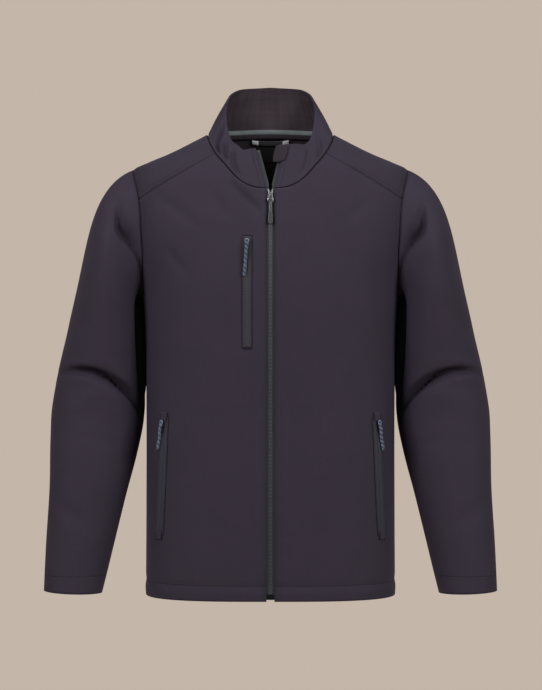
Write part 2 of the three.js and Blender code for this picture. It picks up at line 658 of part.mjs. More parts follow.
function collarAt(turn, v, side) {
  const base = neckAt(turn);
  const c = Math.cos(radians(turn));
  const round = 2 / COLLAR_TOP.square;
  const depth = c > 0 ? COLLAR_TOP.ahead : COLLAR_TOP.behind;
  const top = new THREE.Vector3(
    COLLAR_TOP.wide * Math.abs(Math.sin(radians(turn))) ** round +
      COLLAR_OPEN * smooth(1 - turn / 50),
    -Math.sign(c) * depth * Math.abs(c) ** round,
    column(COLLAR_TOP_EDGE, "turn", side, turn),
  );
  const stand = top.clone().sub(base);
  const lift = (SEAM_GAP + CLOTH / 2) / stand.length();
  const belly = COLLAR_ROLL * Math.sin(Math.PI * v) * smooth(turn / 30);
  const outward = new THREE.Vector3(base.x, base.y * 0.9, 0).normalize();
  return base
    .addScaledVector(stand, mix(lift, 1, v))
    .addScaledVector(outward, belly - COLLAR_TUCK * (1 - v));
}

// The collar's surface with its outward normal, moved outward and past its front edge.
function collarPoint(turn, v, side, out, past) {
  const h = 0.4;
  const rise = 0.004;
  const round = collarAt(Math.min(180, turn + h), v, side).sub(
    collarAt(Math.max(0, turn - h), v, side),
  );
  const up = collarAt(turn, Math.min(1, v + rise), side).sub(
    collarAt(turn, Math.max(0, v - rise), side),
  );
  const n = new THREE.Vector3().crossVectors(round, up).normalize();
  const p = collarAt(turn, v, side)
    .addScaledVector(n, out)
    .addScaledVector(round.normalize(), -past);
  return { p, n };
}

function collarGrid(side) {
  return steps(COLLAR_UP, (v) =>
    steps(COLLAR_ROUND, (u) => {
      const { p, n } = collarPoint(mix(NECK_FRONT_TURN, 180, u ** 1.15), v, side, 0, 0);
      if (u === 1) {
        p.x = 0;
        n.x = 0;
      }
      return { p, n: n.normalize() };
    }),
  );
}

// A point of a front by its distance out from the middle and its height.
function onFront(x, z, out) {
  const s = sectionAt(z);
  const y = -s.ahead * (1 - (Math.abs(x) / s.wide) ** s.square) ** (1 / s.square);
  const { p, n } = torsoVertex(new THREE.Vector3(x, y, z));
  return { p: p.addScaledVector(n, out), n };
}

// A place on a panel by its column and row, which may lie between the panel's own or past them.
function onGrid(grid, across, up, out) {
  const i = Math.max(0, Math.min(Math.floor(across), grid[0].length - 2));
  const j = Math.max(0, Math.min(Math.floor(up), grid.length - 2));
  const blend = (key) => {
    const low = grid[j][i][key].clone().lerp(grid[j][i + 1][key], across - i);
    const high = grid[j + 1][i][key].clone().lerp(grid[j + 1][i + 1][key], across - i);
    return low.lerp(high, up - j);
  };
  const n = blend("n").normalize();
  return { p: blend("p").addScaledVector(n, out), n };
}

// The same, by the distance in from the panel's first column.
function fromEdge(grid, distance, up, out) {
  const width = onGrid(grid, 1, up, 0).p.distanceTo(onGrid(grid, 0, up, 0).p);
  return onGrid(grid, distance / width, up, out);
}

// The rows of the front and of the collar that the zip's tapes follow
const ZIP_FRONT_ROWS = [...steps(FRONT_UP - 3, (_, i) => i + 2), FRONT_UP - 0.3];
const ZIP_COLLAR_ROWS = [0.5, 1, 2, 3, 4, 4.8];

// A strip on a front along the line between a pocket's ends, lifted off the panel's face.
function pocketStrip(pocket, from, to, wide, lift, thickness, rows) {
  const along = new THREE.Vector2(pocket.lowX - pocket.topX, pocket.lowZ - pocket.topZ);
  along.normalize();
  return steps(rows, (v) =>
    steps(2, (u) => {
      const down = mix(from, to, v);
      const off = (u - 0.5) * wide;
      const x = pocket.topX + along.x * down - along.y * off;
      const z = pocket.topZ + along.y * down + along.x * off;
      return onFront(x, z, CLOTH / 2 + LAID_ON_GAP + lift + thickness / 2);
    }),
  );
}

// A mesh whose own X, Y and Z are turned to across, up the cloth and out of it, at one point.
function seated(name, material, geometry, { p, n }) {
  const mesh = new THREE.Mesh(geometry, material);
  const across = new THREE.Vector3(-n.y, n.x, 0).normalize();
  const up = new THREE.Vector3().crossVectors(n, across);
  geometry.applyMatrix4(new THREE.Matrix4().makeBasis(across, up, n).setPosition(p));
  mesh.name = name;
  return mesh;
}

// A flat piece with its outline through the given corners, its back on Z = 0.
function flat(corners, thickness) {
  const outline = new THREE.Shape(corners.map(([x, y]) => new THREE.Vector2(x, y)));
  return new THREE.ExtrudeGeometry(outline, { depth: thickness, bevelEnabled: false });
}

const box = (wide, high, deep, x, y, z) =>
  new THREE.BoxGeometry(wide, high, deep).translate(x, y, z);

// Solids joined into one body.
const wasm = await Module();
wasm.setup();

function solid(geometry) {
  const bare = geometry.index ? geometry.toNonIndexed() : geometry;
  const points = bare.getAttribute("position").array;
  const mesh = new wasm.Mesh({
    numProp: 3,
    vertProperties: new Float32Array(points),
    triVerts: Uint32Array.from({ length: points.length / 3 }, (_, i) => i),
  });
  mesh.merge();
  return new wasm.Manifold(mesh);
}

function joined(geometries) {
  const mesh = wasm.Manifold.union(geometries.map(solid)).getMesh();
  const geometry = new THREE.BufferGeometry();
  geometry.setAttribute("position", new THREE.Float32BufferAttribute(mesh.vertProperties, 3));
  geometry.setIndex(Array.from(mesh.triVerts));
  geometry.computeVertexNormals();
  return geometry;
}

const jacket = new THREE.Group();
const add = (name, material, grids, thickness) =>
  jacket.add(wall(name, material, grids, thickness));

// The cut panels
const front = frontGrid();
const back = backGrids();
const sleeve = sleeveGrid();
const collars = { left: collarGrid("left"), right: collarGrid("right") };
add("front_left", COLOURS.cloth, [front], CLOTH);
add("front_right", COLOURS.cloth, [mirrored(front)], CLOTH);
add("back", COLOURS.cloth, [...back, ...back.map(mirrored)], CLOTH);
add("sleeve_left", COLOURS.cloth, [sleeve], CLOTH);
add("sleeve_right", COLOURS.cloth, [mirrored(sleeve)], CLOTH);
add("collar", COLOURS.cloth, [collars.left, mirrored(collars.right)], COLLAR_CLOTH);

// The guard over the top of the zip, on the left collar edge
const onCollar = COLLAR_CLOTH / 2 + LAID_ON_GAP;
const guard = steps(4, (v) =>
  steps(4, (u) => {
    const corner = v === 0 || v === 1 ? 0.12 : 0;
    const along = mix(-CHIN_GUARD.past, CHIN_GUARD.over, mix(corner, 1 - corner, u));
    const up = COLLAR_UP * mix(CHIN_GUARD.low, CHIN_GUARD.high, v);
    return fromEdge(collars.left, along, up, onCollar + CHIN_GUARD.cloth / 2);
  }),
);
add("chin_guard", COLOURS.cloth, [guard], CHIN_GUARD.cloth);

// The zip: a tape behind each front's edge, with half the coil on it up the open collar, and the
// closed chain below the slider
const tapeSunk = CLOTH / 2 + LAID_ON_GAP + TAPE.cloth / 2;
const collarSunk = onCollar + TAPE.cloth / 2;
const closed = [TAPE.inner - ZIP_HALF, TAPE.outer - ZIP_HALF];
const open = [TAPE.openInner - ZIP_HALF, TAPE.outer - ZIP_HALF];
for (const side of ["left", "right"]) {
  const turned = side === "left" ? (grid) => grid : mirrored;
  const tape = [
    ...ZIP_FRONT_ROWS.map((up) => closed.map((x) => fromEdge(front, x, up, -tapeSunk))),
    ...ZIP_COLLAR_ROWS.map((up) => open.map((x) => fromEdge(collars[side], x, up, -collarSunk))),
  ];
  add(`zip_tape_${side}`, COLOURS.zip, [turned(tape)], TAPE.cloth);
}
const chain = ZIP_FRONT_ROWS.map((up) => {
  const at = fromEdge(front, CHAIN.half - ZIP_HALF, up, -tapeSunk);
  return [-1, 1].map((side) => ({ p: at.p.clone().setX(side * CHAIN.half), n: at.n.clone().setX(0) }));
});
add("zip_chain", COLOURS.zip, [chain], CHAIN.cloth);

// The slider: a horned plate with two lugs that hold the pull
const sliderSeat = onFront(0, SLIDER.z, -tapeSunk + CHAIN.cloth / 2 + LAID_ON_GAP);
const half = SLIDER.wide / 2;
const tall = SLIDER.high / 2;
const hornNotch = 2;
const hornDeep = 6;
const plate = flat(
  [
    [-half * 0.7, -tall],
    [half * 0.7, -tall],
    [half, -tall * 0.6],
    [half * 0.62, tall * 0.3],
    [half * 0.8, tall],
    [hornNotch, tall],
    [hornNotch * 0.6, tall - hornDeep],
    [-hornNotch * 0.6, tall - hornDeep],
    [-hornNotch, tall],
    [-half * 0.8, tall],
    [-half * 0.62, tall * 0.3],
    [-half, -tall * 0.6],
  ],
  SLIDER.plate,
);
const hingeUp = -tall + 3.4;
const lugX = half - SLIDER.lug;
const lugs = [-1, 1].map((side) =>
  box(
    SLIDER.lug,
    5,
    SLIDER.lugHigh,
    side * lugX,
    hingeUp,
    SLIDER.plate - 0.2 + SLIDER.lugHigh / 2,
  ),
);
jacket.add(seated("zip_slider", COLOURS.metal, joined([plate, ...lugs]), sliderSeat));

// The pull: a round head between the lugs, a stem, and a wider grip
const hingeOut = SLIDER.plate + PULL.knuckle + 0.4;
const head = new THREE.CylinderGeometry(
  PULL.knuckle,
  PULL.knuckle,
  2 * (lugX - SLIDER.lug / 2 - 0.3),
  12,
);
head.rotateZ(Math.PI / 2);
head.translate(0, hingeUp, hingeOut);
const stem = box(
  PULL.stem,
  PULL.stemLong,
  PULL.thick,
  0,
  hingeUp - PULL.stemLong / 2,
  hingeOut,
);
const grip = box(
  PULL.grip,
  PULL.gripLong,
  PULL.thick,
  0,
  hingeUp - PULL.stemLong - PULL.gripLong / 2 + PULL.overlap,
  hingeOut,
);
jacket.add(seated("zip_pull", COLOURS.metal, joined([head, stem, grip]), sliderSeat));

// The box that the zip starts from, at the hem
const endZ = CHAIN.lowZ - 0.5 - END_BOX.high / 2;
const endBox = box(END_BOX.wide, END_BOX.high, END_BOX.thick, 0, 0, 0);
jacket.add(seated("zip_bottom_box", COLOURS.metal, endBox, onFront(0, endZ, -tapeSunk)));

// The pockets: a zip laid in its welt, a patch over each end, a slider and its cord
function pocketZip(name, pocket, turned, patched, tip) {
  const long = Math.hypot(pocket.lowX - pocket.topX, pocket.lowZ - pocket.topZ);
  const rows = 8;
  const strip = pocketStrip(pocket, 0, long, pocket.wide, 0, POCKET_TAPE, rows);
  add(`${name}_zip`, COLOURS.zip, [turned(strip)], POCKET_TAPE);
  if (patched) {
    const lift = POCKET_TAPE + LAID_ON_GAP;
    const top = pocketStrip(pocket, -PATCH.past, PATCH.high - PATCH.past, PATCH.wide, lift, PATCH.cloth, 2);
    const low = pocketStrip(
      pocket,
      long - PATCH.high + PATCH.past,
      long + PATCH.past,
      PATCH.wide,
      lift,
      PATCH.cloth,
      2,
    );
    add(`${name}_patch_top`, COLOURS.cloth, [turned(top)], PATCH.cloth);
    add(`${name}_patch_low`, COLOURS.cloth, [turned(low)], PATCH.cloth);
  }
  const lift = CLOTH / 2 + 2 * LAID_ON_GAP + POCKET_TAPE;
  const start = patched ? PATCH.high - PATCH.past + POCKET_SLIDER.underPatch : POCKET_SLIDER.underEnd;
  const down = start + POCKET_SLIDER.high / 2;
  const share = down / long;
  const x = mix(pocket.topX, pocket.lowX, share);
  const z = mix(pocket.topZ, pocket.lowZ, share);
  const mirror = turned === mirrored ? -1 : 1;
  const seat = onFront(x, z, lift);
  const turnedSeat = {
    p: new THREE.Vector3(mirror * seat.p.x, seat.p.y, seat.p.z),
    n: new THREE.Vector3(mirror * seat.n.x, seat.n.y, seat.n.z),
  };
  const block = box(
    POCKET_SLIDER.wide,
    POCKET_SLIDER.high,
    POCKET_SLIDER.thick,
    0,
    0,
    POCKET_SLIDER.thick / 2,
  );
  jacket.add(seated(`${name}_slider`, COLOURS.metal, block, turnedSeat));

  // The cord starts on the slider and comes down to lie on the pocket's zip.
  const onSlider = lift + POCKET_SLIDER.thick + 2 * LAID_ON_GAP + CORD_RADIUS;
  const onZip = CLOTH / 2 + POCKET_TAPE + 2 * LAID_ON_GAP + CORD_RADIUS;
  const route = steps(5, (t) => {
    const rest = mix(onSlider, onZip, smooth((t - 0.2) / 0.4));
    const { p } = onFront(x + tip.lean * t, z + 2 - tip.long * t, rest);
    return new THREE.Vector3(mirror * p.x, p.y, p.z);
  });
  const circle = new THREE.Shape(
    steps(CORD_SIDES - 1, (_, i) => {
      const turn = (i / CORD_SIDES) * 2 * Math.PI;
      return new THREE.Vector2(CORD_RADIUS * Math.cos(turn), CORD_RADIUS * Math.sin(turn));
    }),
  );
  const cord = new THREE.Mesh(
    new THREE.ExtrudeGeometry(circle, {
      steps: CORD_STEPS,
      extrudePath: new THREE.CatmullRomCurve3(route),
    }),
    COLOURS.cord,
  );
  cord.name = `${name}_cord`;
  jacket.add(cord);
}
const unchanged = (grid) => grid;
pocketZip("chest", CHEST_POCKET, mirrored, false, CHEST_CORD);
pocketZip("hand_right", HAND_POCKET, mirrored, true, HAND_CORD);
pocketZip("hand_left", HAND_POCKET, unchanged, true, HAND_CORD);

// Inside the neck
const neckTape = NECK_TAPE.rows.map((up) =>
  NECK_TAPE.columns.map((across) =>
    onGrid(collars.left, across, up, -onCollar - NECK_TAPE.stand - NECK_TAPE.cloth / 2),
  ),
);
add("neck_tape", COLOURS.tape, [neckTape, mirrored(neckTape)], NECK_TAPE.cloth);

const underBack = CLOTH / 2 + LAID_ON_GAP;
const loop = LOOP.rows.map((up) =>
  LOOP.columns.map((across) => {
    const slack = Math.cos((Math.PI / 2) * (across / LOOP.columns[LOOP.columns.length - 1]));
    return onGrid(back[1], across, up - 0.12 * slack, -underBack - LOOP.cloth / 2 - LOOP.slack * slack);
  }),
);
add("hanger_loop", COLOURS.tape, [loop, mirrored(loop)], LOOP.cloth);

const label = LABEL.rows.map((up) =>
  LABEL.columns.map((across) => onGrid(back[1], across, up, -underBack - LABEL.cloth / 2)),
);
add("label", COLOURS.label, [label, mirrored(label)], LABEL.cloth);

export default jacket;
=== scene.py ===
"""A softshell jacket with a stand collar, filled out as if worn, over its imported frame."""
import math

import bmesh
import bpy
import numpy as np
from mathutils import Matrix, Vector


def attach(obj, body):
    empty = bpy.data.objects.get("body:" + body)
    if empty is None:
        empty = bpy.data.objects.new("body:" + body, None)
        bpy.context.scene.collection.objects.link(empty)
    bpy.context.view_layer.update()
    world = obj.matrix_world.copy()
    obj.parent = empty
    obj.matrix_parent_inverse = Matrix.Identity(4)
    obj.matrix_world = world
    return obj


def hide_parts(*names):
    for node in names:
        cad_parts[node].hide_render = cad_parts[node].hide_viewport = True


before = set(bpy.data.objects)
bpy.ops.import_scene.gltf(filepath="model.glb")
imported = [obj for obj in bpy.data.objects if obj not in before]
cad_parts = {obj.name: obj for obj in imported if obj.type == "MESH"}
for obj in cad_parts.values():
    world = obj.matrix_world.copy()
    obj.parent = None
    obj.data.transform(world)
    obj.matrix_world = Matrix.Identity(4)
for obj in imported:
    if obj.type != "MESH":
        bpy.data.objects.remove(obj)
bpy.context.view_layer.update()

# Studio: a camera level with the jacket's middle, 2.7 m in front, and a seamless beige sweep.
# Two large soft lights stand either side of the camera, with a broad one overhead.
CAMERA_PLACE = (0.0008, -2.7, -0.317)
PHOTO_FOCAL_PX = 1720
PHOTO_TALL_PX = 690
BACKDROP = "c4b6a9"
SWEEP = {"half_wide": 6, "start_y": -2.6, "floor_z": -1.25, "flat": 7, "bend": 1.6, "long": 12}


def linear(hex_colour):
    """An sRGB hex colour as the linear RGBA that shaders take."""
    channels = [int(hex_colour[i:i + 2], 16) / 255 for i in (0, 2, 4)]
    return [c / 12.92 if c <= 0.04045 else ((c + 0.055) / 1.055) ** 2.4 for c in channels] + [1]


def add_node(tree, kind, links=(), **values):
    """A shader node with its properties or input values set, and its inputs linked."""
    node = tree.nodes.new(kind)
    for name, value in values.items():
        if hasattr(node, name):
            setattr(node, name, value)
        else:
            node.inputs[name.replace("_", " ")].default_value = value
    for output, name in links:
        tree.links.new(output, node.inputs[name])
    return node


def blank_material(name, **values):
    """A new material with its shader's values set, with the node tree and shader for its nodes."""
    made = bpy.data.materials.new(name)
    made.use_nodes = True
    shader = made.node_tree.nodes["Principled BSDF"]
    for key, value in values.items():
        shader.inputs[key.replace("_", " ")].default_value = value
    return made, made.node_tree, shader


def shown(name, shape, *materials):
    """A bmesh made into a smooth object of the scene."""
    mesh = bpy.data.meshes.new(name)
    shape.to_mesh(mesh)
    shape.free()
    for face in mesh.polygons:
        face.use_smooth = True
    for material in materials:
        mesh.materials.append(material)
    piece = bpy.data.objects.new(name, mesh)
    bpy.context.collection.objects.link(piece)
    return piece

camera_data = bpy.data.cameras.new("camera")
camera_data.sensor_fit = "VERTICAL"
camera_data.angle_y = 2 * math.atan(PHOTO_TALL_PX / 2 / PHOTO_FOCAL_PX)
camera_data.clip_end = 20
camera = bpy.data.objects.new("camera", camera_data)
camera.location = CAMERA_PLACE
camera.rotation_euler = (math.radians(90), 0, 0)
bpy.context.collection.objects.link(camera)
bpy.context.scene.camera = camera
bpy.context.scene.view_settings.view_transform = "Standard"


def soft_light(name, place, aim, wide, tall, watts):
    """A soft box, wide and tall in metres, that faces a point."""
    data = bpy.data.lights.new(name, "AREA")
    data.shape = "RECTANGLE"
    data.size = wide
    data.size_y = tall
    data.energy = watts
    light = bpy.data.objects.new(name, data)
    light.location = place
    light.rotation_euler = (Vector(aim) - Vector(place)).to_track_quat("-Z", "Y").to_euler()
    bpy.context.collection.objects.link(light)


soft_light("key", (-1.7, -1.9, 0.8), (0, 0, -0.3), 1.2, 1.3, 60)
soft_light("fill", (1.8, -1.9, 0.7), (0, 0, -0.3), 1.2, 1.3, 60)
soft_light("overhead", (0, -0.3, 1.9), (0, 0, -0.2), 1.8, 1.0, 22)

world = bpy.data.worlds.new("studio")
world.use_nodes = True
world.node_tree.nodes["Background"].inputs["Color"].default_value = linear("d8d0c8")
world.node_tree.nodes["Background"].inputs["Strength"].default_value = 0.12
bpy.context.scene.world = world

sweep_shape = bmesh.new()
bmesh.ops.create_grid(sweep_shape, x_segments=1, y_segments=24, size=1)
for vertex in sweep_shape.verts:
    run = (vertex.co.y + 1) / 2 * SWEEP["long"]
    bend = min(max(run - SWEEP["flat"], 0), SWEEP["bend"]) / SWEEP["bend"] * math.pi / 2
    rise = max(run - SWEEP["flat"] - SWEEP["bend"], 0)
    vertex.co = (vertex.co.x * SWEEP["half_wide"],
                 SWEEP["start_y"] + min(run, SWEEP["flat"]) + math.sin(bend),
                 SWEEP["floor_z"] + 1 - math.cos(bend) + rise)
paper = blank_material("painted_sweep", Base_Color=linear("000000"), Roughness=1, Specular_IOR_Level=0,
                       Emission_Color=linear(BACKDROP), Emission_Strength=1)[0]
sweep = shown("sweep", sweep_shape, paper)

# The torso's form, in millimetres: level sections, an armhole seen from the side and a neck seam seen
# from above. Every panel is cut from it, as a worn jacket's cloth lies on one body, and has slack folds.
SIDES = (("left", 1), ("right", -1))
NECK_SEAM_BACK = 0.9
ARMHOLE_SEAM_BACK = 0.7
TORSO_MM_PER_DEGREE = 3
CRISP_END = 12
HEM_Z = -703
CLOTH = 2
SEAM_GAP = 0.3
LAID_ON_GAP = 0.3
ZIP_HALF = 6
YOKE_Z = -94
UNDER_HEM_STITCH = 23
HEM_BULGE = {"high": 0.8, "wide": 9}
HEM_PULL = {"high": 1.0, "wide": 5}


def table(columns, rows):
    """Rows of numbers as one array for each named column."""
    return dict(zip(columns.split(), np.array(rows, float).T))


TORSO = table("z wide ahead behind square", [
    (-703, 193, 115, 112, 3.1),
    (-560, 193, 117, 108, 2.9),
    (-430, 193, 119, 106, 2.7),
    (-330, 194, 124, 112, 2.5),
    (-237, 198, 126, 121, 2.5),
    (-190, 208, 124, 124, 2.5),
    (-140, 220, 118, 123, 2.5),
    (-100, 224, 109, 118, 2.45),
    (-70, 222, 101, 110, 2.4),
    (-45, 214, 92, 100, 2.3),
    (-33, 191, 85, 94, 2.25),
    (-20, 161, 76, 87, 2.2),
    (-8, 136, 66, 78, 2.2),
    (4, 113, 52, 69, 2.2),
    (12, 98, 42, 63, 2.2),
    (18, 86, 34, 57, 2.2),
])
ARMHOLE = {"z": -140, "high": 97, "ahead": 66, "behind": 62}
NECK = {"wide": 98, "ahead": 104, "behind": 58, "square_ahead": 2.8, "square_behind": 2.3}
NECK_CORNER_X = 84
TORSO_FOLDS = table("from_turn from_z to_turn to_z width depth", [
    (36, -300, 52, -640, 34, 3.2),
    (74, -290, 68, -560, 26, 3.4),
    (104, -270, 118, -600, 30, 4.2),
    (136, -180, 148, -430, 34, 4.4),
    (160, -330, 164, -690, 38, 3.4),
    (14, -120, 34, -230, 20, 1.8),
])


def column(rows, along, key, at):
    """The value of one column of a table between its rows, on a smooth curve through them."""
    x, y = rows[along], rows[key]
    if x[0] > x[-1]:
        x, y = x[::-1], y[::-1]
    grade = np.diff(y) / np.diff(x)
    lean = np.concatenate([grade[:1], np.zeros(len(x) - 2), grade[-1:]])
    before, after = grade[:-1], grade[1:]
    rising = before * after > 0
    lean[1:-1][rising] = (2 * before * after)[rising] / (before + after)[rising]
    at = np.clip(at, x[0], x[-1])
    k = np.clip(np.searchsorted(x, at) - 1, 0, len(x) - 2)
    span = x[k + 1] - x[k]
    t = (at - x[k]) / span
    return (y[k] * (2 * t**3 - 3 * t**2 + 1) + y[k + 1] * (3 * t**2 - 2 * t**3)
            + lean[k] * span * (t**3 - 2 * t**2 + t) + lean[k + 1] * span * (t**3 - t**2))


def section_at(z):
    """The half width, both depths and the squareness of the torso's level section."""
    return [column(TORSO, "z", key, z) for key in ("wide", "ahead", "behind", "square")]


def miss(p):
    """How far points lie outside the torso's form, as a share: 0 on the form."""
    wide, ahead, behind, square = section_at(p[..., 2])
    depth = np.where(p[..., 1] < 0, ahead, behind)
    return (np.abs(p[..., 0]) / wide) ** square + (np.abs(p[..., 1]) / depth) ** square - 1


def gradient(p):
    step = 0.05
    sides = [miss(p + step * axis) - miss(p - step * axis) for axis in np.eye(3)]
    return np.stack(sides, -1) / (2 * step)


def unit(v):
    return v / np.maximum(np.linalg.norm(v, axis=-1, keepdims=True), 1e-9)


def torso_normal(p):
    return unit(gradient(p))


def onto_torso(p):
    for _ in range(4):
        g = gradient(p)
        p = p - g * (miss(p) / (g * g).sum(-1))[..., None]
    return p


def cos_sin(degrees):
    return np.cos(np.radians(degrees)), np.sin(np.radians(degrees))


def torso_at(turn, z):
    """Points of the torso by turn from the middle front, in degrees, and height."""
    wide, ahead, behind, square = section_at(z)
    c, s = cos_sin(turn)
    depth = np.where(c > 0, ahead, behind)
    return np.stack([wide * np.abs(s) ** (2 / square), -depth * np.sign(c) * np.abs(c) ** (2 / square),
                     z + 0 * turn], -1)


def turn_of(p):
    wide, ahead, behind, square = section_at(p[..., 2])
    depth = np.where(p[..., 1] < 0, ahead, behind)
    across = (np.abs(p[..., 0]) / wide) ** (square / 2)
    forward = (np.abs(p[..., 1]) / depth) ** (square / 2)
    return np.degrees(np.arctan2(across, -np.sign(p[..., 1]) * forward))


def shoulder_over(x, y):
    """The points of the shoulders over places seen from above."""
    low, high = np.full(np.shape(x), -100.0), np.full(np.shape(x), 18.0)
    for _ in range(40):
        middle = (low + high) / 2
        inside = miss(np.stack([x, y, middle], -1)) < 0
        low, high = np.where(inside, middle, low), np.where(inside, high, middle)
    return np.stack([x, y, (low + high) / 2], -1)


def mix(a, b, t):
    return a + (b - a) * t


def smooth(t):
    held = np.clip(t, 0, 1)
    return held * held * (3 - 2 * held)


def armhole_at(turn):
    """The armhole by turn: 0 at the shoulder, 90 at the front, 180 under the arm, 270 behind."""
    c, s = cos_sin(turn)
    y = -np.where(s > 0, ARMHOLE["ahead"], ARMHOLE["behind"]) * s
    z = ARMHOLE["z"] + ARMHOLE["high"] * c
    wide, ahead, behind, square = section_at(z)
    depth = np.where(y < 0, ahead, behind)
    return np.stack([wide * (1 - (np.abs(y) / depth) ** square) ** (1 / square), y, z], -1)


def neck_at(turn):
    """The neck seam by turn: 0 at the front, 90 at the side, 180 at the back."""
    c, s = cos_sin(turn)
    s = np.abs(s)
    square = np.where(c > 0, NECK["square_ahead"], NECK["square_behind"])
    depth = np.where(c > 0, NECK["ahead"], NECK["behind"])
    return shoulder_over(NECK["wide"] * s ** (2 / square),
                         -np.sign(c) * depth * np.abs(c) ** (2 / square))


def neck_turn_at(x):
    return math.degrees(math.asin((x / NECK["wide"]) ** (NECK["square_ahead"] / 2)))


NECK_FRONT_TURN = neck_turn_at(ZIP_HALF)
NECK_CORNER_TURN = neck_turn_at(NECK_CORNER_X)
YOKE_TURN = math.degrees(math.acos((YOKE_Z - ARMHOLE["z"]) / ARMHOLE["high"]))


def shoulder_seam_at(t):
    """The forward shoulder seam, from the neck seam at 0 to the armhole at 1."""
    inner, outer = neck_at(np.array(NECK_CORNER_TURN)), armhole_at(np.array(YOKE_TURN))
    p = mix(inner, outer, np.asarray(t, float)[..., None])
    wide, ahead, _, square = section_at(p[..., 2])
    p[..., 1] = -ahead * (1 - (p[..., 0] / wide) ** square) ** (1 / square)
    return p


def set_back(curve, t, distance, toward):
    """Points of a seam moved back along the cloth, to the side that toward points to."""
    t = np.asarray(t, float)
    p = curve(t)
    away = unit(np.cross(curve(t + 0.002) - curve(t - 0.002), torso_normal(p)))
    side = np.sign((away * toward(p)).sum(-1))[..., None]
    return onto_torso(p + away * distance * side)


def from_neck(p):
    return p * [1, 1, 0] + [0, 0, -20]


def from_armhole(p):
    return (p - [0, 0, ARMHOLE["z"]]) * [0, 1, 1]


def neck_edge(t, start, end):
    return set_back(lambda s: neck_at(mix(start, end, s)), t, NECK_SEAM_BACK, from_neck)


def armhole_edge(t, start, end):
    return set_back(lambda s: armhole_at(mix(start, end, s)), t, ARMHOLE_SEAM_BACK, from_armhole)


def seam_edge(t, toward):
    return set_back(shoulder_seam_at, t, SEAM_GAP / 2, lambda p: np.zeros_like(p) + toward)


def pressed(folds, turn, z, mm_per_degree):
    """How far the folds press the cloth in, at places given by turn and height.

    A crisp fold slopes down evenly from above to its line, with a sharp lip below it. The others are
    troughs with a soft edge on both sides.
    """
    total = np.zeros(np.shape(z))
    for values in zip(*folds.values()):
        fold = dict(zip(folds, values))
        along_x = (fold["to_turn"] - fold["from_turn"]) * mm_per_degree
        along_z = fold["to_z"] - fold["from_z"]
        at_x = (turn - fold["from_turn"]) * mm_per_degree
        crisp = fold.get("crisp", 0)
        length = along_x**2 + along_z**2
        t = at_x / along_x if crisp else (at_x * along_x + (z - fold["from_z"]) * along_z) / length
        t = np.clip(t, 0, 1)
        over = z - fold.get("rise", 0) * 4 * t * (1 - t) - fold["from_z"] - t * along_z
        if crisp:
            slope = np.clip(1 - over / (fold["width"] * (0.3 + 0.7 * t)), 0, 1)
            past = np.exp(-((at_x - t * along_x) / CRISP_END) ** 2)
            trough = np.where(over > 0, slope, np.exp(-(over / fold["under"]) ** 2)) * past
        else:
            width = np.where(over < 0, fold.get("under", fold["width"]), fold["width"])
            off = np.hypot(at_x - t * along_x, over) / width
            trough = np.exp(-off * off)
        ends = 0.03 if crisp else 0.12
        fade = np.sin(np.pi * (ends + (1 - 2 * ends) * t ** fold.get("late", 1)))
        total += fold["depth"] * fade * trough
    return total


def hem_relief(z):
    """The turned hem bulges a little below its stitching, which pulls the cloth in."""
    above = z - HEM_Z
    return (HEM_BULGE["high"] * np.exp(-((above - UNDER_HEM_STITCH / 2) / HEM_BULGE["wide"]) ** 2)
            - HEM_PULL["high"] * np.exp(-((above - UNDER_HEM_STITCH) / HEM_PULL["wide"]) ** 2))


EASE_WAVES = np.random.default_rng(7).uniform([-1, -1, -1, 0], [1, 1, 1, 2 * math.pi], (14, 4))


def ease(p, height=0.35):
    """The slight unevenness of cloth that hangs without a crease: long low waves, all over."""
    total = np.zeros(p.shape[:-1])
    for x, y, z, phase in EASE_WAVES:
        run = unit(np.array([x, y, 0.7 * z])) * 2 * math.pi / (70 + 60 * abs(z))
        total += np.sin(np.abs(p[..., 0]) * run[0] + p[..., 1] * run[1] + p[..., 2] * run[2] + phase)
    return height * total / 3.7


def torso_cloth(p):
    """Points and outward normals of the cloth over points of the torso's form."""
    n = torso_normal(p)
    fade = smooth((np.abs(p[..., 0]) - 12) / 40)
    relief = (hem_relief(p[..., 2]) + fade * ease(p)
              - fade * pressed(TORSO_FOLDS, turn_of(p), p[..., 2], TORSO_MM_PER_DEGREE))
    return p + n * relief[..., None], n


def between(low, high, left, right):
    """A grid of points that fills four edges."""
    u = np.linspace(0, 1, len(low))[None, :, None]
    v = np.linspace(0, 1, len(left))[:, None, None]
    low, high, left, right = low[None], high[None], left[:, None], right[:, None]
    corners = ((1 - u) * (1 - v) * low[:, :1] + u * (1 - v) * low[:, -1:]
               + (1 - u) * v * high[:, :1] + u * v * high[:, -1:])
    return (1 - v) * low + v * high + (1 - u) * left + u * right - corners


def turn_and_z(p):
    return np.stack([turn_of(p), p[..., 2]], -1)


def sided(pair, side):
    """A grid and its normals as made for the left, or mirrored where the side is -1."""
    return [g * [side, 1, 1] for g in pair]


def on_front(x, z, out):
    """A point of a front by its distance from the middle and its height, moved out of the cloth."""
    x, z = np.broadcast_arrays(np.asarray(x, float), np.asarray(z, float))
    wide, ahead, _, square = section_at(z)
    y = -ahead * (1 - (np.abs(x) / wide) ** square) ** (1 / square)
    p, n = torso_cloth(np.stack([x, y, z], -1))
    return p + n * np.asarray(out, float)[..., None], n


def distance_to(points, lines):
    """How far each point of a grid lies from the nearest of some lines of points."""
    near = np.full(points.shape[:2], 100.0)
    for line in lines:
        start, step = line[:-1], np.diff(line, axis=0)
        reach = points[:, :, None] - start
        t = np.clip((reach * step).sum(-1) / np.maximum((step * step).sum(-1), 1e-9), 0, 1)
        near = np.minimum(near, np.linalg.norm(reach - t[..., None] * step, axis=-1).min(-1))
    return near


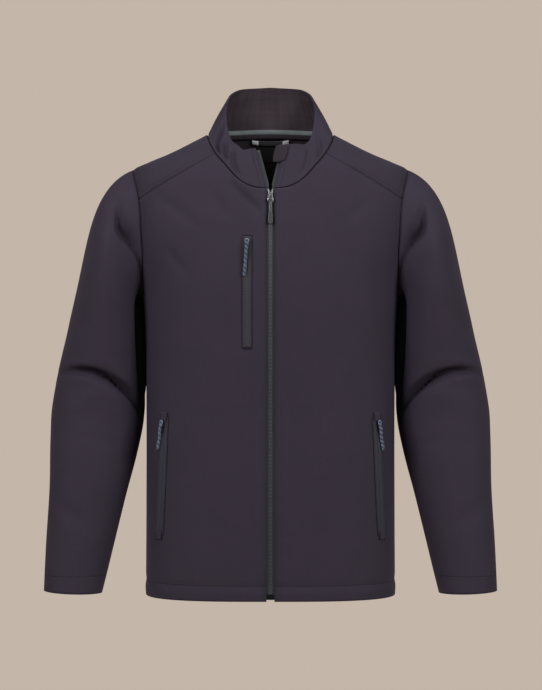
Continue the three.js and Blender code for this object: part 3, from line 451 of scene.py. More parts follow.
def rolled_in(pair, near, depth=0.15, width=1.6):
    """A grid with its cloth turned a little inward towards its sewn edges."""
    points, normals = pair
    return points - normals * (depth * np.exp(-(near / width) ** 2))[..., None], normals


# Cloth pieces are grids laid on the form, thickened by a Solidify modifier: the outer face is the
# grid, and the fleece side lies one cloth thickness inside it.
def cloth_piece(name, grids, thickness, material, lining=None, seam=None, hem=None):
    """One sewn piece, from grids of (points, outward normals), in millimetres.

    seam and hem give, for each grid, every point's distance from the nearest sewn edge and from
    the turned edge.
    """
    shape = bmesh.new()
    lay = shape.loops.layers.uv.new("cloth")
    marks = [(shape.verts.layers.float.new("from_seam"), seam),
             (shape.verts.layers.float.new("from_hem"), hem)]
    outward = []
    for number, (points, normals) in enumerate(grids):
        rows, columns = points.shape[:2]
        outer = (points + normals * thickness / 2) / 1000
        across = np.linalg.norm(np.diff(points, axis=1), axis=-1).mean(0)
        up = np.linalg.norm(np.diff(points, axis=0), axis=-1).mean(1)
        u = np.concatenate([[0], np.cumsum(across)]) / 1000
        v = np.concatenate([[0], np.cumsum(up)]) / 1000
        made = bmesh.ops.create_grid(shape, x_segments=columns - 1, y_segments=rows - 1, size=1)
        place = {}
        for vertex in made["verts"]:
            i = round((vertex.co.x + 1) / 2 * (columns - 1))
            j = round((vertex.co.y + 1) / 2 * (rows - 1))
            place[vertex] = (i, j)
            vertex.co = outer[j, i]
            for mark, distances in marks:
                vertex[mark] = distances[number][j, i] if distances else 100
        for face in {face for vertex in made["verts"] for face in vertex.link_faces}:
            outward.append((face, Vector(sum(normals[place[v][1], place[v][0]] for v in face.verts))))
            for loop in face.loops:
                i, j = place[loop.vert]
                loop[lay].uv = (u[i], v[j])
    bmesh.ops.remove_doubles(shape, verts=shape.verts, dist=2e-5)
    bmesh.ops.recalc_face_normals(shape, faces=shape.faces)
    facing = sum(face.normal.dot(n) for face, n in outward if face.is_valid)
    if facing < 0:
        bmesh.ops.reverse_faces(shape, faces=shape.faces)
    piece = shown(name, shape, material, lining or material)
    thicken = piece.modifiers.new("thickness", "SOLIDIFY")
    thicken.thickness = thickness / 1000
    thicken.offset = -1
    thicken.use_even_offset = False
    thicken.material_offset = 1
    thicken.material_offset_rim = 0
    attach(piece, "garment")
    return piece


# Softshell: a dense matte woven face bonded to a dark brushed fleece back. The face shows a fine
# plain weave, slubs along both threads, a faint mottling, and puckers along each topstitched row,
# which are bumped in and painted darker as shade, as is the seam line itself.
STITCH_ROWS = (2.0, 8.0)
HEM_STITCH_ROW = 23.0


def worked(tree, operation, first, second):
    """The output of a sum on two outputs."""
    return add_node(tree, "ShaderNodeMath", [(first, 0), (second, 1)], operation=operation).outputs[0]


def bumped(tree, shader, height, **values):
    """The shader's relief, from an output."""
    bump = add_node(tree, "ShaderNodeBump", [(height, "Height")], **values)
    tree.links.new(bump.outputs["Normal"], shader.inputs["Normal"])


def blended(tree, shader, factor, first, second):
    """The shader's colour, from one hex colour to another by an output."""
    mixed = add_node(tree, "ShaderNodeMix", [(factor, "Factor")], data_type="RGBA", A=linear(first),
                     B=linear(second))
    tree.links.new(mixed.outputs["Result"], shader.inputs["Base Color"])


def tinted(tree, shader, shade, colour):
    """The shader's colour, as one hex colour made darker or lighter by an output."""
    product = add_node(tree, "ShaderNodeVectorMath", [(shade, 1)], operation="MULTIPLY")
    product.inputs[0].default_value = linear(colour)[:3]
    tree.links.new(product.outputs[0], shader.inputs["Base Color"])


def noise(tree, place, scale, detail, roughness=0.5):
    """Uneven patches over a place, as an output from 0 to 1."""
    return add_node(tree, "ShaderNodeTexNoise", [(place, "Vector")], Scale=scale, Detail=detail,
                    Roughness=roughness).outputs["Fac"]


def ranged(tree, value, **limits):
    """An output moved from one range to another."""
    return add_node(tree, "ShaderNodeMapRange", [(value, "Value")], **limits).outputs[0]


def softshell(name, face_colour, mottle, weave_mm, nap=0.0):
    made, tree, shader = blank_material(
        name, Roughness=0.82, Specular_IOR_Level=0.18, Sheen_Weight=0.03 + nap / 4, Sheen_Roughness=0.5,
        Sheen_Tint=linear("b9a8cc"))
    lay = add_node(tree, "ShaderNodeUVMap", uv_map="cloth").outputs["UV"]
    place = add_node(tree, "ShaderNodeTexCoord").outputs["Object"]
    slubs = []
    for stretch in ((3000, 160, 1), (160, 3000, 1)):
        run = add_node(tree, "ShaderNodeVectorMath", [(lay, 0)], operation="MULTIPLY")
        run.inputs[1].default_value = [value * 0.5 / weave_mm for value in stretch]
        slubs.append(noise(tree, run.outputs[0], 0.22, 2.0, 0.6))
    weave = worked(tree, "ADD", *slubs)
    patchy = worked(tree, "ADD", noise(tree, place, 22.0, 5.0, 0.6), weave)
    tone = ranged(tree, patchy, From_Min=1.1, From_Max=1.9, To_Min=1 - mottle, To_Max=1 + mottle)
    # Puckers: the cloth dips in small pulls along each row of stitches; the dips, and the seam line itself,
    # are painted darker as shade.
    row_dips = []
    for attribute, row, width in (("from_seam", STITCH_ROWS[0], 1.1), ("from_seam", STITCH_ROWS[1], 1.1),
                                  ("from_hem", HEM_STITCH_ROW, 1.7), ("from_seam", 0.0, 0.6)):
        mark = add_node(tree, "ShaderNodeAttribute", attribute_name=attribute)
        off = add_node(tree, "ShaderNodeMath", [(mark.outputs["Fac"], 0)], operation="SUBTRACT")
        off.inputs[1].default_value = row
        apart = add_node(tree, "ShaderNodeMath", [(off.outputs[0], 0)], operation="ABSOLUTE")
        row_dips.append(ranged(tree, apart.outputs[0], interpolation_type="SMOOTHSTEP", From_Min=0.0,
                               From_Max=width, To_Min=1.0, To_Max=0.0))
    dips = row_dips[0]
    for row_dip in row_dips[1:]:
        dips = worked(tree, "MAXIMUM", dips, row_dip)
    pulls = ranged(tree, noise(tree, place, 260.0, 1.0), From_Min=0.35, From_Max=0.65, To_Min=0.5, To_Max=1.0)
    pucker_depth_and_shade = worked(tree, "MULTIPLY", dips, pulls)
    # Painted shade: the face colour is made up to 28% darker in the pucker dips and along the seam line.
    darker = ranged(tree, pucker_depth_and_shade, To_Min=1.0, To_Max=0.72)
    tinted(tree, shader, worked(tree, "MULTIPLY", tone, darker), face_colour)
    relief = add_node(tree, "ShaderNodeMath", [(weave, 0), (pucker_depth_and_shade, 2)], operation="MULTIPLY_ADD")
    relief.inputs[1].default_value = -0.2 - nap
    bumped(tree, shader, relief.outputs[0], Distance=0.0007, Strength=0.6, invert=True)
    return made


face_cloth = softshell("softshell_woven_face", "2a2430", 0.1, 0.5)
fleece_back = softshell("softshell_fleece_back", "2b2328", 0.3, 3.0, 0.4)

# Two fronts, each cut from the zip to the side seam and from the hem to the forward shoulder seam. They
# are bonded softshell, folded back over the zip tape, with the hem turned up and stitched.
FRONT_ACROSS = 60
FRONT_NECK_ACROSS = 25
FRONT_HEM_ROWS = 16
FRONT_SIDE_ROWS = 84
FRONT_ARMHOLE_ROWS = 36
HEM_BAND = 42


def heights_to(top_z, rows):
    """Heights up an edge: close together at the turned hem, and even above it."""
    band = np.linspace(HEM_Z, HEM_Z + HEM_BAND, FRONT_HEM_ROWS + 1)
    return np.concatenate([band, np.linspace(HEM_Z + HEM_BAND, top_z, rows + 1)[1:]])


def front_grid():
    armhole = armhole_edge(np.linspace(0, 1, FRONT_ARMHOLE_ROWS + 1), 180, YOKE_TURN)
    armhole[-1] = onto_torso(armhole[-1] + [0, 0, -0.3])
    neck = neck_edge(np.linspace(0, 1, FRONT_NECK_ACROSS + 1), NECK_FRONT_TURN, NECK_CORNER_TURN)
    neck[-1] = onto_torso(neck[-1] + [0, -0.1, -0.6])
    seam = seam_edge(np.linspace(0, 1, FRONT_ACROSS - FRONT_NECK_ACROSS + 1), [0, -1, -1])
    seam[-1] = armhole[-1]
    heights = heights_to(neck[0, 2], FRONT_SIDE_ROWS + FRONT_ARMHOLE_ROWS)
    wide, _, _, square = section_at(heights)
    zip_turn = np.degrees(np.arcsin((ZIP_HALF / wide) ** (square / 2)))
    zip_edge = np.stack([zip_turn, heights], -1)
    neck[0] = torso_at(zip_turn[-1:], heights[-1:])[0]
    top = turn_and_z(np.concatenate([neck, seam[1:]]))
    top[0] = zip_edge[-1]
    low_side = heights_to(armhole[0, 2], FRONT_SIDE_ROWS)
    side_gap = np.degrees(SEAM_GAP / 2 / section_at(low_side)[1])
    side = np.concatenate([np.stack([90 - side_gap, low_side], -1), turn_and_z(armhole)[1:]])
    hem = np.stack([np.linspace(zip_edge[0, 0], side[0, 0], FRONT_ACROSS + 1),
                    np.full(FRONT_ACROSS + 1, HEM_Z)], -1)
    grid = between(hem, top, zip_edge, side)
    return torso_at(grid[..., 0], grid[..., 1])


# Drag lines in the front cloth, by the distance from the zip: sharp ones that run down from the
# collar seam to the zip, and broad slack ones across the chest.
DRAG_LINES = {
    "right": table("from_x from_z to_x to_z width depth", [
        (58, -74, 6, -124, 6, 6.5), (33, -72, 5, -101, 4.5, 4.5), (168, -92, 104, -142, 9, 2.6),
        (156, -172, 124, -214, 8, 2.0), (92, -84, 60, -128, 9, 2.0),
    ]),
    "left": table("from_x from_z to_x to_z width depth", [
        (36, -72, 6, -98, 6, 2.6), (150, -100, 100, -138, 9, 1.8),
    ]),
}


def dragged(pair, lines, near_seam):
    """A front with its drag lines pulled in, but not at the zip or its sewn edges."""
    points, normals = pair
    pull = np.zeros(points.shape[:-1])
    for values in zip(*lines.values()):
        from_x, from_z, to_x, to_z, width, depth = values
        run = np.array([to_x - from_x, to_z - from_z])
        away = points[..., [0, 2]] - [from_x, from_z]
        t = np.clip(away @ run / (run @ run), 0, 1)
        off = np.linalg.norm(away - t[..., None] * run, axis=-1) / width
        pull += depth * np.sin(np.pi * (0.12 + 0.83 * t)) * np.exp(-off * off)
    held = smooth((points[..., 0] - 10) / 14) * smooth(near_seam / 12)
    return points - normals * (pull * held)[..., None], normals


front_flat = torso_cloth(front_grid())
front_side_rows = FRONT_HEM_ROWS + FRONT_SIDE_ROWS
front_armhole = front_flat[0][front_side_rows:, -1]
front_sewn = distance_to(front_flat[0], [front_armhole, front_flat[0][-1],
                                         front_flat[0][:front_side_rows + 1, -1]])
front_stitched = distance_to(front_flat[0], [front_armhole])
front_cloth = rolled_in(front_flat, front_sewn)
front_hem = front_flat[0][..., 2] - HEM_Z
for side_name, side in SIDES:
    pulled = dragged(front_cloth, DRAG_LINES[side_name], front_sewn)
    panel = cloth_piece(f"panel_front_{side_name}", [sided(pulled, side)], CLOTH,
                        face_cloth, fleece_back, seam=[front_stitched], hem=[front_hem])
    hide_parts(f"front_{side_name}")

# The back is one piece: it runs over the shoulders to the forward seams, in one lower and two
# upper grids that meet in the same points.
BACK_NECK_ACROSS = 26
BACK_SHOULDER_ACROSS = 34
RIDGE_ROWS = 24
OVER_ROWS = 20
RIDGE_NECK_TURN = 116


def back_grids():
    armhole = armhole_edge(np.linspace(0, 1, FRONT_ARMHOLE_ROWS + 1), 180, 360 - YOKE_TURN)
    low_side = heights_to(armhole[0, 2], FRONT_SIDE_ROWS)
    side_gap = np.degrees(SEAM_GAP / 2 / section_at(low_side)[1])
    side = np.concatenate([np.stack([90 + side_gap, low_side], -1), turn_and_z(armhole)[1:]])
    across = BACK_NECK_ACROSS + BACK_SHOULDER_ACROSS
    line_z = armhole[-1, 2]
    inner_y = section_at(YOKE_Z)[2] * 0.93
    inner_turn = float(turn_of(np.array([NECK["wide"], inner_y, YOKE_Z])))
    line_turn = np.concatenate([np.linspace(180, inner_turn, BACK_NECK_ACROSS + 1),
                                np.linspace(inner_turn, side[-1, 0], BACK_SHOULDER_ACROSS + 1)[1:]])
    line = np.stack([line_turn, np.full(across + 1, line_z)], -1)
    middle_z = heights_to(line_z, FRONT_SIDE_ROWS + FRONT_ARMHOLE_ROWS)
    middle = np.stack([np.full(len(side), 180.0), middle_z], -1)
    hem = np.stack([np.linspace(180, side[0, 0], across + 1), np.full(across + 1, HEM_Z)], -1)
    grid = between(hem, line, middle, side)
    lower = torso_at(grid[..., 0], grid[..., 1])
    edge = lower[-1]

    share = (RIDGE_NECK_TURN - NECK_CORNER_TURN) / (180 - NECK_CORNER_TURN)
    neck_back = neck_edge(np.linspace(1, share, BACK_NECK_ACROSS + 1), NECK_CORNER_TURN, 180)[:, :2]
    neck_back[0, 0] = 0
    rise = np.linspace(0, 1, RIDGE_ROWS + 1)[:, None]
    fold = mix(edge[BACK_NECK_ACROSS, :2], neck_back[-1], rise)
    spine = mix(edge[0, :2], neck_back[0], rise)
    plan = between(edge[:BACK_NECK_ACROSS + 1, :2], neck_back, spine, fold)
    upper = shoulder_over(plan[..., 0], plan[..., 1])

    neck_side = neck_edge(np.linspace(share, 0, OVER_ROWS + 1), NECK_CORNER_TURN, 180)[:, :2]
    inner = np.concatenate([fold, neck_side[1:]])
    turns = np.concatenate([np.linspace(360 - YOKE_TURN, 360, RIDGE_ROWS + 1),
                            np.linspace(360, 360 + YOKE_TURN, OVER_ROWS + 1)[1:]])
    arm = np.array([armhole_edge(np.array(0.0), turn, turn + 1) for turn in turns])[:, :2]
    arm[0] = edge[-1, :2]
    front = seam_edge(np.linspace(0, 1, BACK_SHOULDER_ACROSS + 1), [0, 1, 1])[:, :2]
    front[0] += [0.3, 0.9]
    inner[-1] = front[0]
    front[-1] += [-0.4, 0.2]
    arm[-1] = front[-1]
    plan = between(edge[BACK_NECK_ACROSS:, :2], front, inner, arm)
    saddle = shoulder_over(plan[..., 0], plan[..., 1])
    upper[0], saddle[0] = edge[:BACK_NECK_ACROSS + 1], edge[BACK_NECK_ACROSS:]
    saddle[:RIDGE_ROWS + 1, 0] = upper[:, -1]
    return [torso_cloth(grid) for grid in (lower, upper, saddle)]


back_flat = back_grids()
back_low, back_upper, back_saddle = (pair[0] for pair in back_flat)
back_stitch_seams = [back_low[front_side_rows:, -1], back_saddle[:, -1], back_saddle[-1]]
back_seams = back_stitch_seams + [back_low[:front_side_rows + 1, -1], back_upper[-1],
                                  back_saddle[RIDGE_ROWS:, 0]]
back_cloth = [rolled_in(pair, distance_to(pair[0], back_seams)) for pair in back_flat]
back_stitched = [distance_to(pair[0], back_stitch_seams) for pair in back_flat]
back_hem = [pair[0][..., 2] - HEM_Z for pair in back_flat]
back = cloth_piece("panel_back", back_cloth + [sided(pair, -1) for pair in back_cloth], CLOTH,
                   face_cloth, fleece_back, seam=back_stitched * 2, hem=back_hem * 2)
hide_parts("back")

# One-piece sleeves: a cap eased onto the armhole, then a tube that bends forward at the elbow,
# creased inside the bend and under the arm.
SLEEVE = table("z out ahead wide deep tilt", [
    (-250, 251.7, 2, 53.3, 84, 12),
    (-321, 258.9, 0, 62.8, 72, 12),
    (-385, 266.4, -3, 70.1, 62, 10),
    (-425, 271.3, -1, 71.4, 59, 8),
    (-470, 276.1, 5, 68, 56, 8),
    (-548, 285.9, 15, 58.5, 50, 8),
    (-636, 298, 27, 50, 43, 8),
    (-698, 306, 36, 44, 37, 2),
])
SLEEVE_FOLDS = table("from_turn from_z to_turn to_z rise width under late crisp depth", [
    (22, -362, 164, -428, 30, 17, 5, 1.2, 1, 30),
    (50, -350, 130, -384, 26, 9, 9, 1.3, 0, -3),
    (60, -410, 130, -428, 30, 12, 26, 1.2, 0, -3),
    (52, -96, 156, -232, -6, 16, 3.5, 1.0, 1, 24),
    (75, -150, 140, -226, 0, 12, 12, 1.0, 0, -2.5),
    (160, -214, 166, -408, 0, 15, 15, 0.9, 0, 14),
    (195, -392, 335, -380, -14, 12, 18, 1.0, 0, 6),
    (300, -112, 222, -240, 6, 15, 15, 1.0, 0, 8),
    (300, -450, 214, -520, 8, 15, 15, 1.0, 0, 4),
    (40, -560, 110, -600, 4, 14, 14, 1.0, 0, 2),
    (70, -462, 150, -488, 10, 9, 12, 1.0, 0, 1.6),
    (20, -300, 70, -262, -6, 16, 16, 1.0, 0, 1.8),
    (204, -196, 202, -400, 0, 24, 24, 1.0, 0, -3.6),
])
SLEEVE_MM_PER_DEGREE = 1.15
CUFF_STITCH_ROW = 26
SLEEVE_ROUND = 96
SLEEVE_TURNS = np.append(np.linspace(0, 360, SLEEVE_ROUND, endpoint=False), 0)
CAP_ROWS = 40
TUBE_ROWS = 110
# How the cap leaves the armhole, and how far its curve is drawn out at both ends, each given over the
# shoulder and then under the arm, where it also starts a little off the body.
CAP = {"out": 0.6, "under_lift": 2.2, "drop": (-0.38, -1.9), "leave": (68, 9), "arrive": (92, 8)}


def tube_at(turn, z):
    out, ahead, wide, deep, tilt = (column(SLEEVE, "z", key, z)
                                    for key in ("out", "ahead", "wide", "deep", "tilt"))
    c, s = cos_sin(turn)
    tilt_c, tilt_s = cos_sin(tilt)
    return np.stack([out + wide * c * tilt_c, -ahead - deep * s, z + wide * c * tilt_s], -1)


def cap_at(turn, t):
    """The cap by turn and share of its length, on a curve from the armhole to the tube's top."""
    c, s = cos_sin(turn)
    under = smooth((0.2 - c) / 1.2)[..., None]
    start = armhole_at(turn)
    start = start + torso_normal(start) * CAP["under_lift"] * under + [CAP["out"], 0, 0]
    top_z = np.full(np.shape(turn), SLEEVE["z"][0])
    end = tube_at(turn, top_z)
    down = mix(*CAP["drop"], under[..., 0])
    leave = unit(np.stack([np.ones_like(down), -0.3 * s, down], -1))
    arrive = unit(tube_at(turn, top_z - 4) - end)
    second = start + leave * mix(*CAP["leave"], under)
    third = end - arrive * mix(*CAP["arrive"], under)
    t = t[..., None]
    s = 1 - t
    return s**3 * start + 3 * s * s * t * second + 3 * s * t * t * third + t**3 * end


def sleeve_grid():
    cap_turn, cap_t = np.meshgrid(SLEEVE_TURNS, np.linspace(0, 1, CAP_ROWS + 1))
    tube_z = np.linspace(SLEEVE["z"][0], SLEEVE["z"][-1], TUBE_ROWS + 1)[1:]
    tube_turn, tube_z = np.meshgrid(SLEEVE_TURNS, tube_z)
    p = np.concatenate([cap_at(cap_turn, cap_t), tube_at(tube_turn, tube_z)])
    turns = np.concatenate([cap_turn, tube_turn])
    ring = p[:, :-1]
    around = np.roll(ring, -1, axis=1) - np.roll(ring, 1, axis=1)
    n = unit(np.cross(np.concatenate([around, around[:, :1]], 1), np.gradient(p, axis=0)))
    if n[len(n) // 2, 0, 0] < 0:
        n = -n
    row = np.arange(len(p))[:, None]
    folds = pressed(SLEEVE_FOLDS, turns, p[..., 2], SLEEVE_MM_PER_DEGREE)
    relief = smooth(row / 15) * ease(p, 0.5) - smooth(row / 6) * folds
    return p + n * relief[..., None], n


sleeve_flat = sleeve_grid()
sleeve_cloth = rolled_in(sleeve_flat, distance_to(sleeve_flat[0], [sleeve_flat[0][0]]))
sleeve_hem = sleeve_flat[0][..., 2] - SLEEVE["z"][-1] + HEM_STITCH_ROW - CUFF_STITCH_ROW
for side_name, side in SIDES:
    panel = cloth_piece(f"panel_sleeve_{side_name}", [sided(sleeve_cloth, side)], CLOTH,
                        face_cloth, fleece_back, hem=[sleeve_hem])
    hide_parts(f"sleeve_{side_name}")

# A seam allowance turned inside each armhole, where the sleeve and the body are stitched together: the
# raw fleece edges of both, pressed flat. It has no node of its own in the frame.
ALLOWANCE_WIDE = 5
ALLOWANCE_UNDER = 1.75
ALLOWANCE_CLOTH = 0.8


def armhole_allowance():
    seam = armhole_at(SLEEVE_TURNS)
    body_side = set_back(armhole_at, SLEEVE_TURNS, ALLOWANCE_WIDE, from_armhole)
    normals = [torso_normal(body_side), torso_normal(seam), sleeve_flat[1][1]]
    rows = [body_side - normals[0] * ALLOWANCE_UNDER,
            seam - normals[1] * ALLOWANCE_UNDER - [1.6, 0, 0],
            sleeve_flat[0][1] - normals[2] * (ALLOWANCE_UNDER + 0.2)]
    return np.stack(rows), np.stack(normals)


allowance = armhole_allowance()
for side_name, side in SIDES:
    strip = cloth_piece(f"armhole_allowance_{side_name}", [sided(allowance, side)], ALLOWANCE_CLOTH,
                        fleece_back)

# The stand collar: two layers, the outer one softshell and the inner one its fleece side, joined by a
# fold along the top edge and fallen open at the front.
COLLAR_CLOTH = 2.6
COLLAR_OPEN = 20
COLLAR_ROLL = 3.6
COLLAR_TUCK = 1.1
COLLAR_TOP = {"wide": 69, "ahead": 74, "behind": 54, "square": 2.3}
COLLAR_TOP_EDGE = table("turn left right", [
    (0, -11, -17), (20, -10, -19), (42, -10, -11), (56, -4, -4), (72, 18, 16), (90, 52, 51),
    (115, 78, 78), (145, 91, 91), (180, 95, 95),
])
COLLAR_CAD_ROUND = 14
COLLAR_CAD_UP = 5
COLLAR_ROUND = 84
COLLAR_UP = 30
# Soft pleats where the collar turns, by turn from the middle front, with their lean, width and depth.
COLLAR_FOLDS = {
    "left": table("turn lean width low high depth", [
        (58, 30, 5, 0.0, 0.9, 4.6), (74, -10, 6, 0.1, 1.0, 3.4), (128, 6, 9, 0.2, 1.0, 2.2),
        (160, -6, 8, 0.0, 0.8, 1.6), (34, 26, 5, 0.0, 0.8, 3.4),
    ]),
    "right": table("turn lean width low high depth", [
        (66, 34, 5, 0.0, 0.95, 7.0), (50, 34, 5, 0.1, 0.92, 6.5), (34, 26, 5, 0.0, 0.85, 5.5),
        (84, 20, 6, 0.0, 0.9, 3.4), (146, 5, 8, 0.0, 1.0, 2.6),
    ]),
}


def collar_turns(count):
    """Turns along the collar from its front edge to the middle back, closer together at the front."""
    return mix(NECK_FRONT_TURN, 180, np.linspace(0, 1, count + 1) ** 1.15)


def collar_at(turn, v, side):
    """The collar by turn, share of its height and side, before its pleats."""
    base = neck_at(turn)
    c, s = cos_sin(turn)
    power = 2 / COLLAR_TOP["square"]
    depth = np.where(c > 0, COLLAR_TOP["ahead"], COLLAR_TOP["behind"])
    top = np.stack([COLLAR_TOP["wide"] * np.abs(s) ** power + COLLAR_OPEN * smooth(1 - turn / 50),
                    -np.sign(c) * depth * np.abs(c) ** power,
                    column(COLLAR_TOP_EDGE, "turn", side, turn)], -1)
    stand = top - base
    lift = (SEAM_GAP + CLOTH / 2) / np.linalg.norm(stand, axis=-1)
    belly = COLLAR_ROLL * np.sin(np.pi * v) * smooth(turn / 30)
    outward = unit(np.stack([base[..., 0], base[..., 1] * 0.9, 0 * turn], -1))
    return (base + stand * mix(lift, 1, v)[..., None]
            + outward * (belly - COLLAR_TUCK * (1 - v))[..., None])


def collar_grid(side, creased=True):
    turn, v = np.meshgrid(collar_turns(COLLAR_ROUND), np.linspace(0, 1, COLLAR_UP + 1))
    around = (collar_at(np.minimum(180, turn + 0.4), v, side)
              - collar_at(np.maximum(0, turn - 0.4), v, side))
    up = (collar_at(turn, np.minimum(1, v + 0.004), side)
          - collar_at(turn, np.maximum(0, v - 0.004), side))
    n = unit(np.cross(around, up))
    n[:, -1, 0] = 0
    n = unit(n)
    p = collar_at(turn, v, side)
    p[:, -1, 0] = 0
    press = np.zeros(turn.shape)
    for at, lean, width, low, high, depth in zip(*COLLAR_FOLDS[side].values()) if creased else ():
        rise = smooth((v - low) / 0.25) * smooth((high - v) / 0.25)
        press += depth * rise * np.exp(-((turn - (at + lean * (v - 0.5))) / width) ** 2)
    settle = smooth((180 - turn) / 12) * smooth((turn - NECK_FRONT_TURN) / 8)
    return p - n * (press * settle)[..., None], n


def on_grid(pair, across, up, out):
    """Places on a piece by column and row, between its own or past them, moved out of the cloth."""
    points, normals = pair
    across, up = np.broadcast_arrays(np.asarray(across, float), np.asarray(up, float))
    i = np.clip(np.floor(across).astype(int), 0, points.shape[1] - 2)
    j = np.clip(np.floor(up).astype(int), 0, points.shape[0] - 2)
    s, t = (across - i)[..., None], (up - j)[..., None]
    found = [mix(mix(g[j, i], g[j, i + 1], s), mix(g[j + 1, i], g[j + 1, i + 1], s), t)
             for g in (points, normals)]
    n = unit(found[1])
    return found[0] + n * np.asarray(out, float)[..., None], n


def from_edge(pair, distance, up, out):
    """The same, by the distance in from the piece's first column."""
    start = on_grid(pair, 0 * up, up, 0)[0]
    width = np.linalg.norm(on_grid(pair, 0 * up + 1, up, 0)[0] - start, axis=-1)
    return on_grid(pair, distance / width, up, out)


collar_cloth, collar_seam = [], []
for side_name, side in SIDES:
    pair = collar_grid(side_name)
    near_seam = distance_to(pair[0], [pair[0][0]])
    collar_cloth.append(sided(rolled_in(pair, near_seam, 0.2, 2.0), side))
    collar_seam.append(distance_to(pair[0], [pair[0][:, 0]]))
collar = cloth_piece("stand_collar", collar_cloth, COLLAR_CLOTH, face_cloth, fleece_back, seam=collar_seam)
fold = collar.modifiers.new("rounded_edge", "BEVEL")
fold.width = 0.0011
fold.segments = 3
fold.limit_method = "ANGLE"
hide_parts("collar")

# The seam allowances inside the neck, turned down over the panels under the collar seam: raw fleece
# edges, stitched flat. They have no node of their own in the frame.
def neck_allowance(side_name):
    turn = np.linspace(NECK_FRONT_TURN + 1, 180, 61)
    seam = neck_at(turn)
    seam_n = torso_normal(seam)
    low = set_back(neck_at, np.minimum(turn, 179.9), ALLOWANCE_WIDE, from_neck)
    low_n = torso_normal(low)
    collar_n = unit(np.stack([seam[:, 0], seam[:, 1], 0 * turn], -1))
    rows = np.stack([low - low_n * ALLOWANCE_UNDER,
                     seam - seam_n * ALLOWANCE_UNDER - collar_n * 1.4,
                     collar_at(turn, np.full(len(turn), 0.09), side_name) - collar_n * 2.2])
    rows[:, -1, 0] = 0
    return rows, np.stack([low_n, unit(seam_n + collar_n), collar_n])


neck_strip = [sided(neck_allowance(side_name), side) for side_name, side in SIDES]
neck_inside = cloth_piece("neck_allowance", neck_strip, ALLOWANCE_CLOTH, fleece_back)

# The chin guard: a soft flap of the face cloth folded over the top of the left collar edge and
# stitched down, so the closed zip can't rub the skin.
CHIN_GUARD = {"past": 14.0, "over": 7.0, "low": 0.58, "high": 0.985, "cloth": 1.2, "puff": 0.9}
ON_COLLAR = COLLAR_CLOTH / 2 + LAID_ON_GAP
CORNER_ROUND = 0.26
nearest_column = np.round(np.interp(collar_turns(COLLAR_CAD_ROUND), collar_turns(COLLAR_ROUND),
                                    np.arange(COLLAR_ROUND + 1))).astype(int)
nearest_row = np.round(np.linspace(0, 1, COLLAR_CAD_UP + 1) * COLLAR_UP).astype(int)
collar_coarse = {side_name: [g[nearest_row][:, nearest_column] for g in collar_grid(side_name, creased=False)]
                 for side_name, _ in SIDES}


def guard_grid(count=14):
    """The flap as a grid with rounded corners, puffed up between its stitched edges."""
    a, b = np.meshgrid(np.linspace(-1, 1, count), np.linspace(-1, 1, count))
    x = a * np.sqrt(1 - CORNER_ROUND * b * b)
    y = b * np.sqrt(1 - CORNER_ROUND * a * a)
    along = mix(-CHIN_GUARD["past"], CHIN_GUARD["over"], (x + 1) / 2)
    rise = mix(CHIN_GUARD["low"], CHIN_GUARD["high"], (y + 1) / 2)
    puff = CHIN_GUARD["puff"] * (1 - np.maximum(np.abs(a), np.abs(b)) ** 4)
    return from_edge(collar_coarse["left"], along, rise * COLLAR_CAD_UP,
                     ON_COLLAR + CHIN_GUARD["cloth"] / 2 + puff)


guard_cloth = softshell("softshell_soft_facing", "231d23", 0.2, 1.5, 0.3)
guard = cloth_piece("chin_guard_flap", [guard_grid()], CHIN_GUARD["cloth"], guard_cloth, fleece_back)
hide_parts("chin_guard")

# Inside the neck: a woven satin tape that covers the collar seam from shoulder to shoulder, stitched
# down along both of its edges.
NECK_TAPE = {"rows": (0.08, 0.6), "columns": (9, 14), "cloth": 0.7, "stand": 0.4}


def woven_tape(name, face_colour, crest_highlight_colour, ribs_mm, bands="Y", sheen=0.2, roughness=0.55):
    """A narrow woven tape: fine ribs along it, painted lighter on their crests as a highlight, by uneven
    amounts.
    """
    made, tree, shader = blank_material(name, Roughness=roughness, Specular_IOR_Level=0.3,
                                        Sheen_Weight=sheen)
    lay = add_node(tree, "ShaderNodeUVMap", uv_map="cloth").outputs["UV"]
    ribs = add_node(tree, "ShaderNodeTexWave", [(lay, "Vector")], bands_direction=bands,
                    Scale=1000 / ribs_mm / 20, Distortion=0.4, Detail=2.0)
    rib_relief_and_highlight = worked(tree, "MULTIPLY", ribs.outputs["Fac"], noise(tree, lay, 1400.0, 3.0))
    # Painted highlight: the colour turns to the lighter one on the ribs' crests, by uneven amounts.
    blended(tree, shader, rib_relief_and_highlight, face_colour, crest_highlight_colour)
    bumped(tree, shader, rib_relief_and_highlight, Distance=0.0003, Strength=0.7)
    return made


satin_tape = woven_tape("satin_woven_neck_tape", "3a4143", "63696c", 1.6)
tape_up, tape_across = np.meshgrid(np.linspace(*NECK_TAPE["rows"], 7), np.linspace(*NECK_TAPE["columns"], 61),
                                   indexing="ij")
under_collar = ON_COLLAR + NECK_TAPE["stand"] + NECK_TAPE["cloth"] / 2
tape_half = on_grid(collar_coarse["left"], tape_across, tape_up, -under_collar)
neck_band = cloth_piece("neck_tape_satin", [tape_half, sided(tape_half, -1)], NECK_TAPE["cloth"], satin_tape)
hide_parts("neck_tape")

# The hanger loop: a flat woven tape with white ends, caught under the neck tape and left slack. Its
# ends are folded under and held by bartacks.
LOOP = {"rows": (3.5, 3.85), "wide": 1.18, "slack": 2.6, "cloth": 1.2}
LOOP_END = {"from": 0.76 * 0.86, "to": 1.04, "lift": 0.9, "cloth": 0.5}
BACK_PATCH_CAD = (5, 4)
patch_columns = np.linspace(0, BACK_NECK_ACROSS, BACK_PATCH_CAD[0] + 1).round().astype(int)
patch_rows = np.linspace(0, RIDGE_ROWS, BACK_PATCH_CAD[1] + 1).round().astype(int)
patch_coarse = [g[patch_rows][:, patch_columns] for g in back_flat[1]]
UNDER_BACK = CLOTH / 2 + LAID_ON_GAP


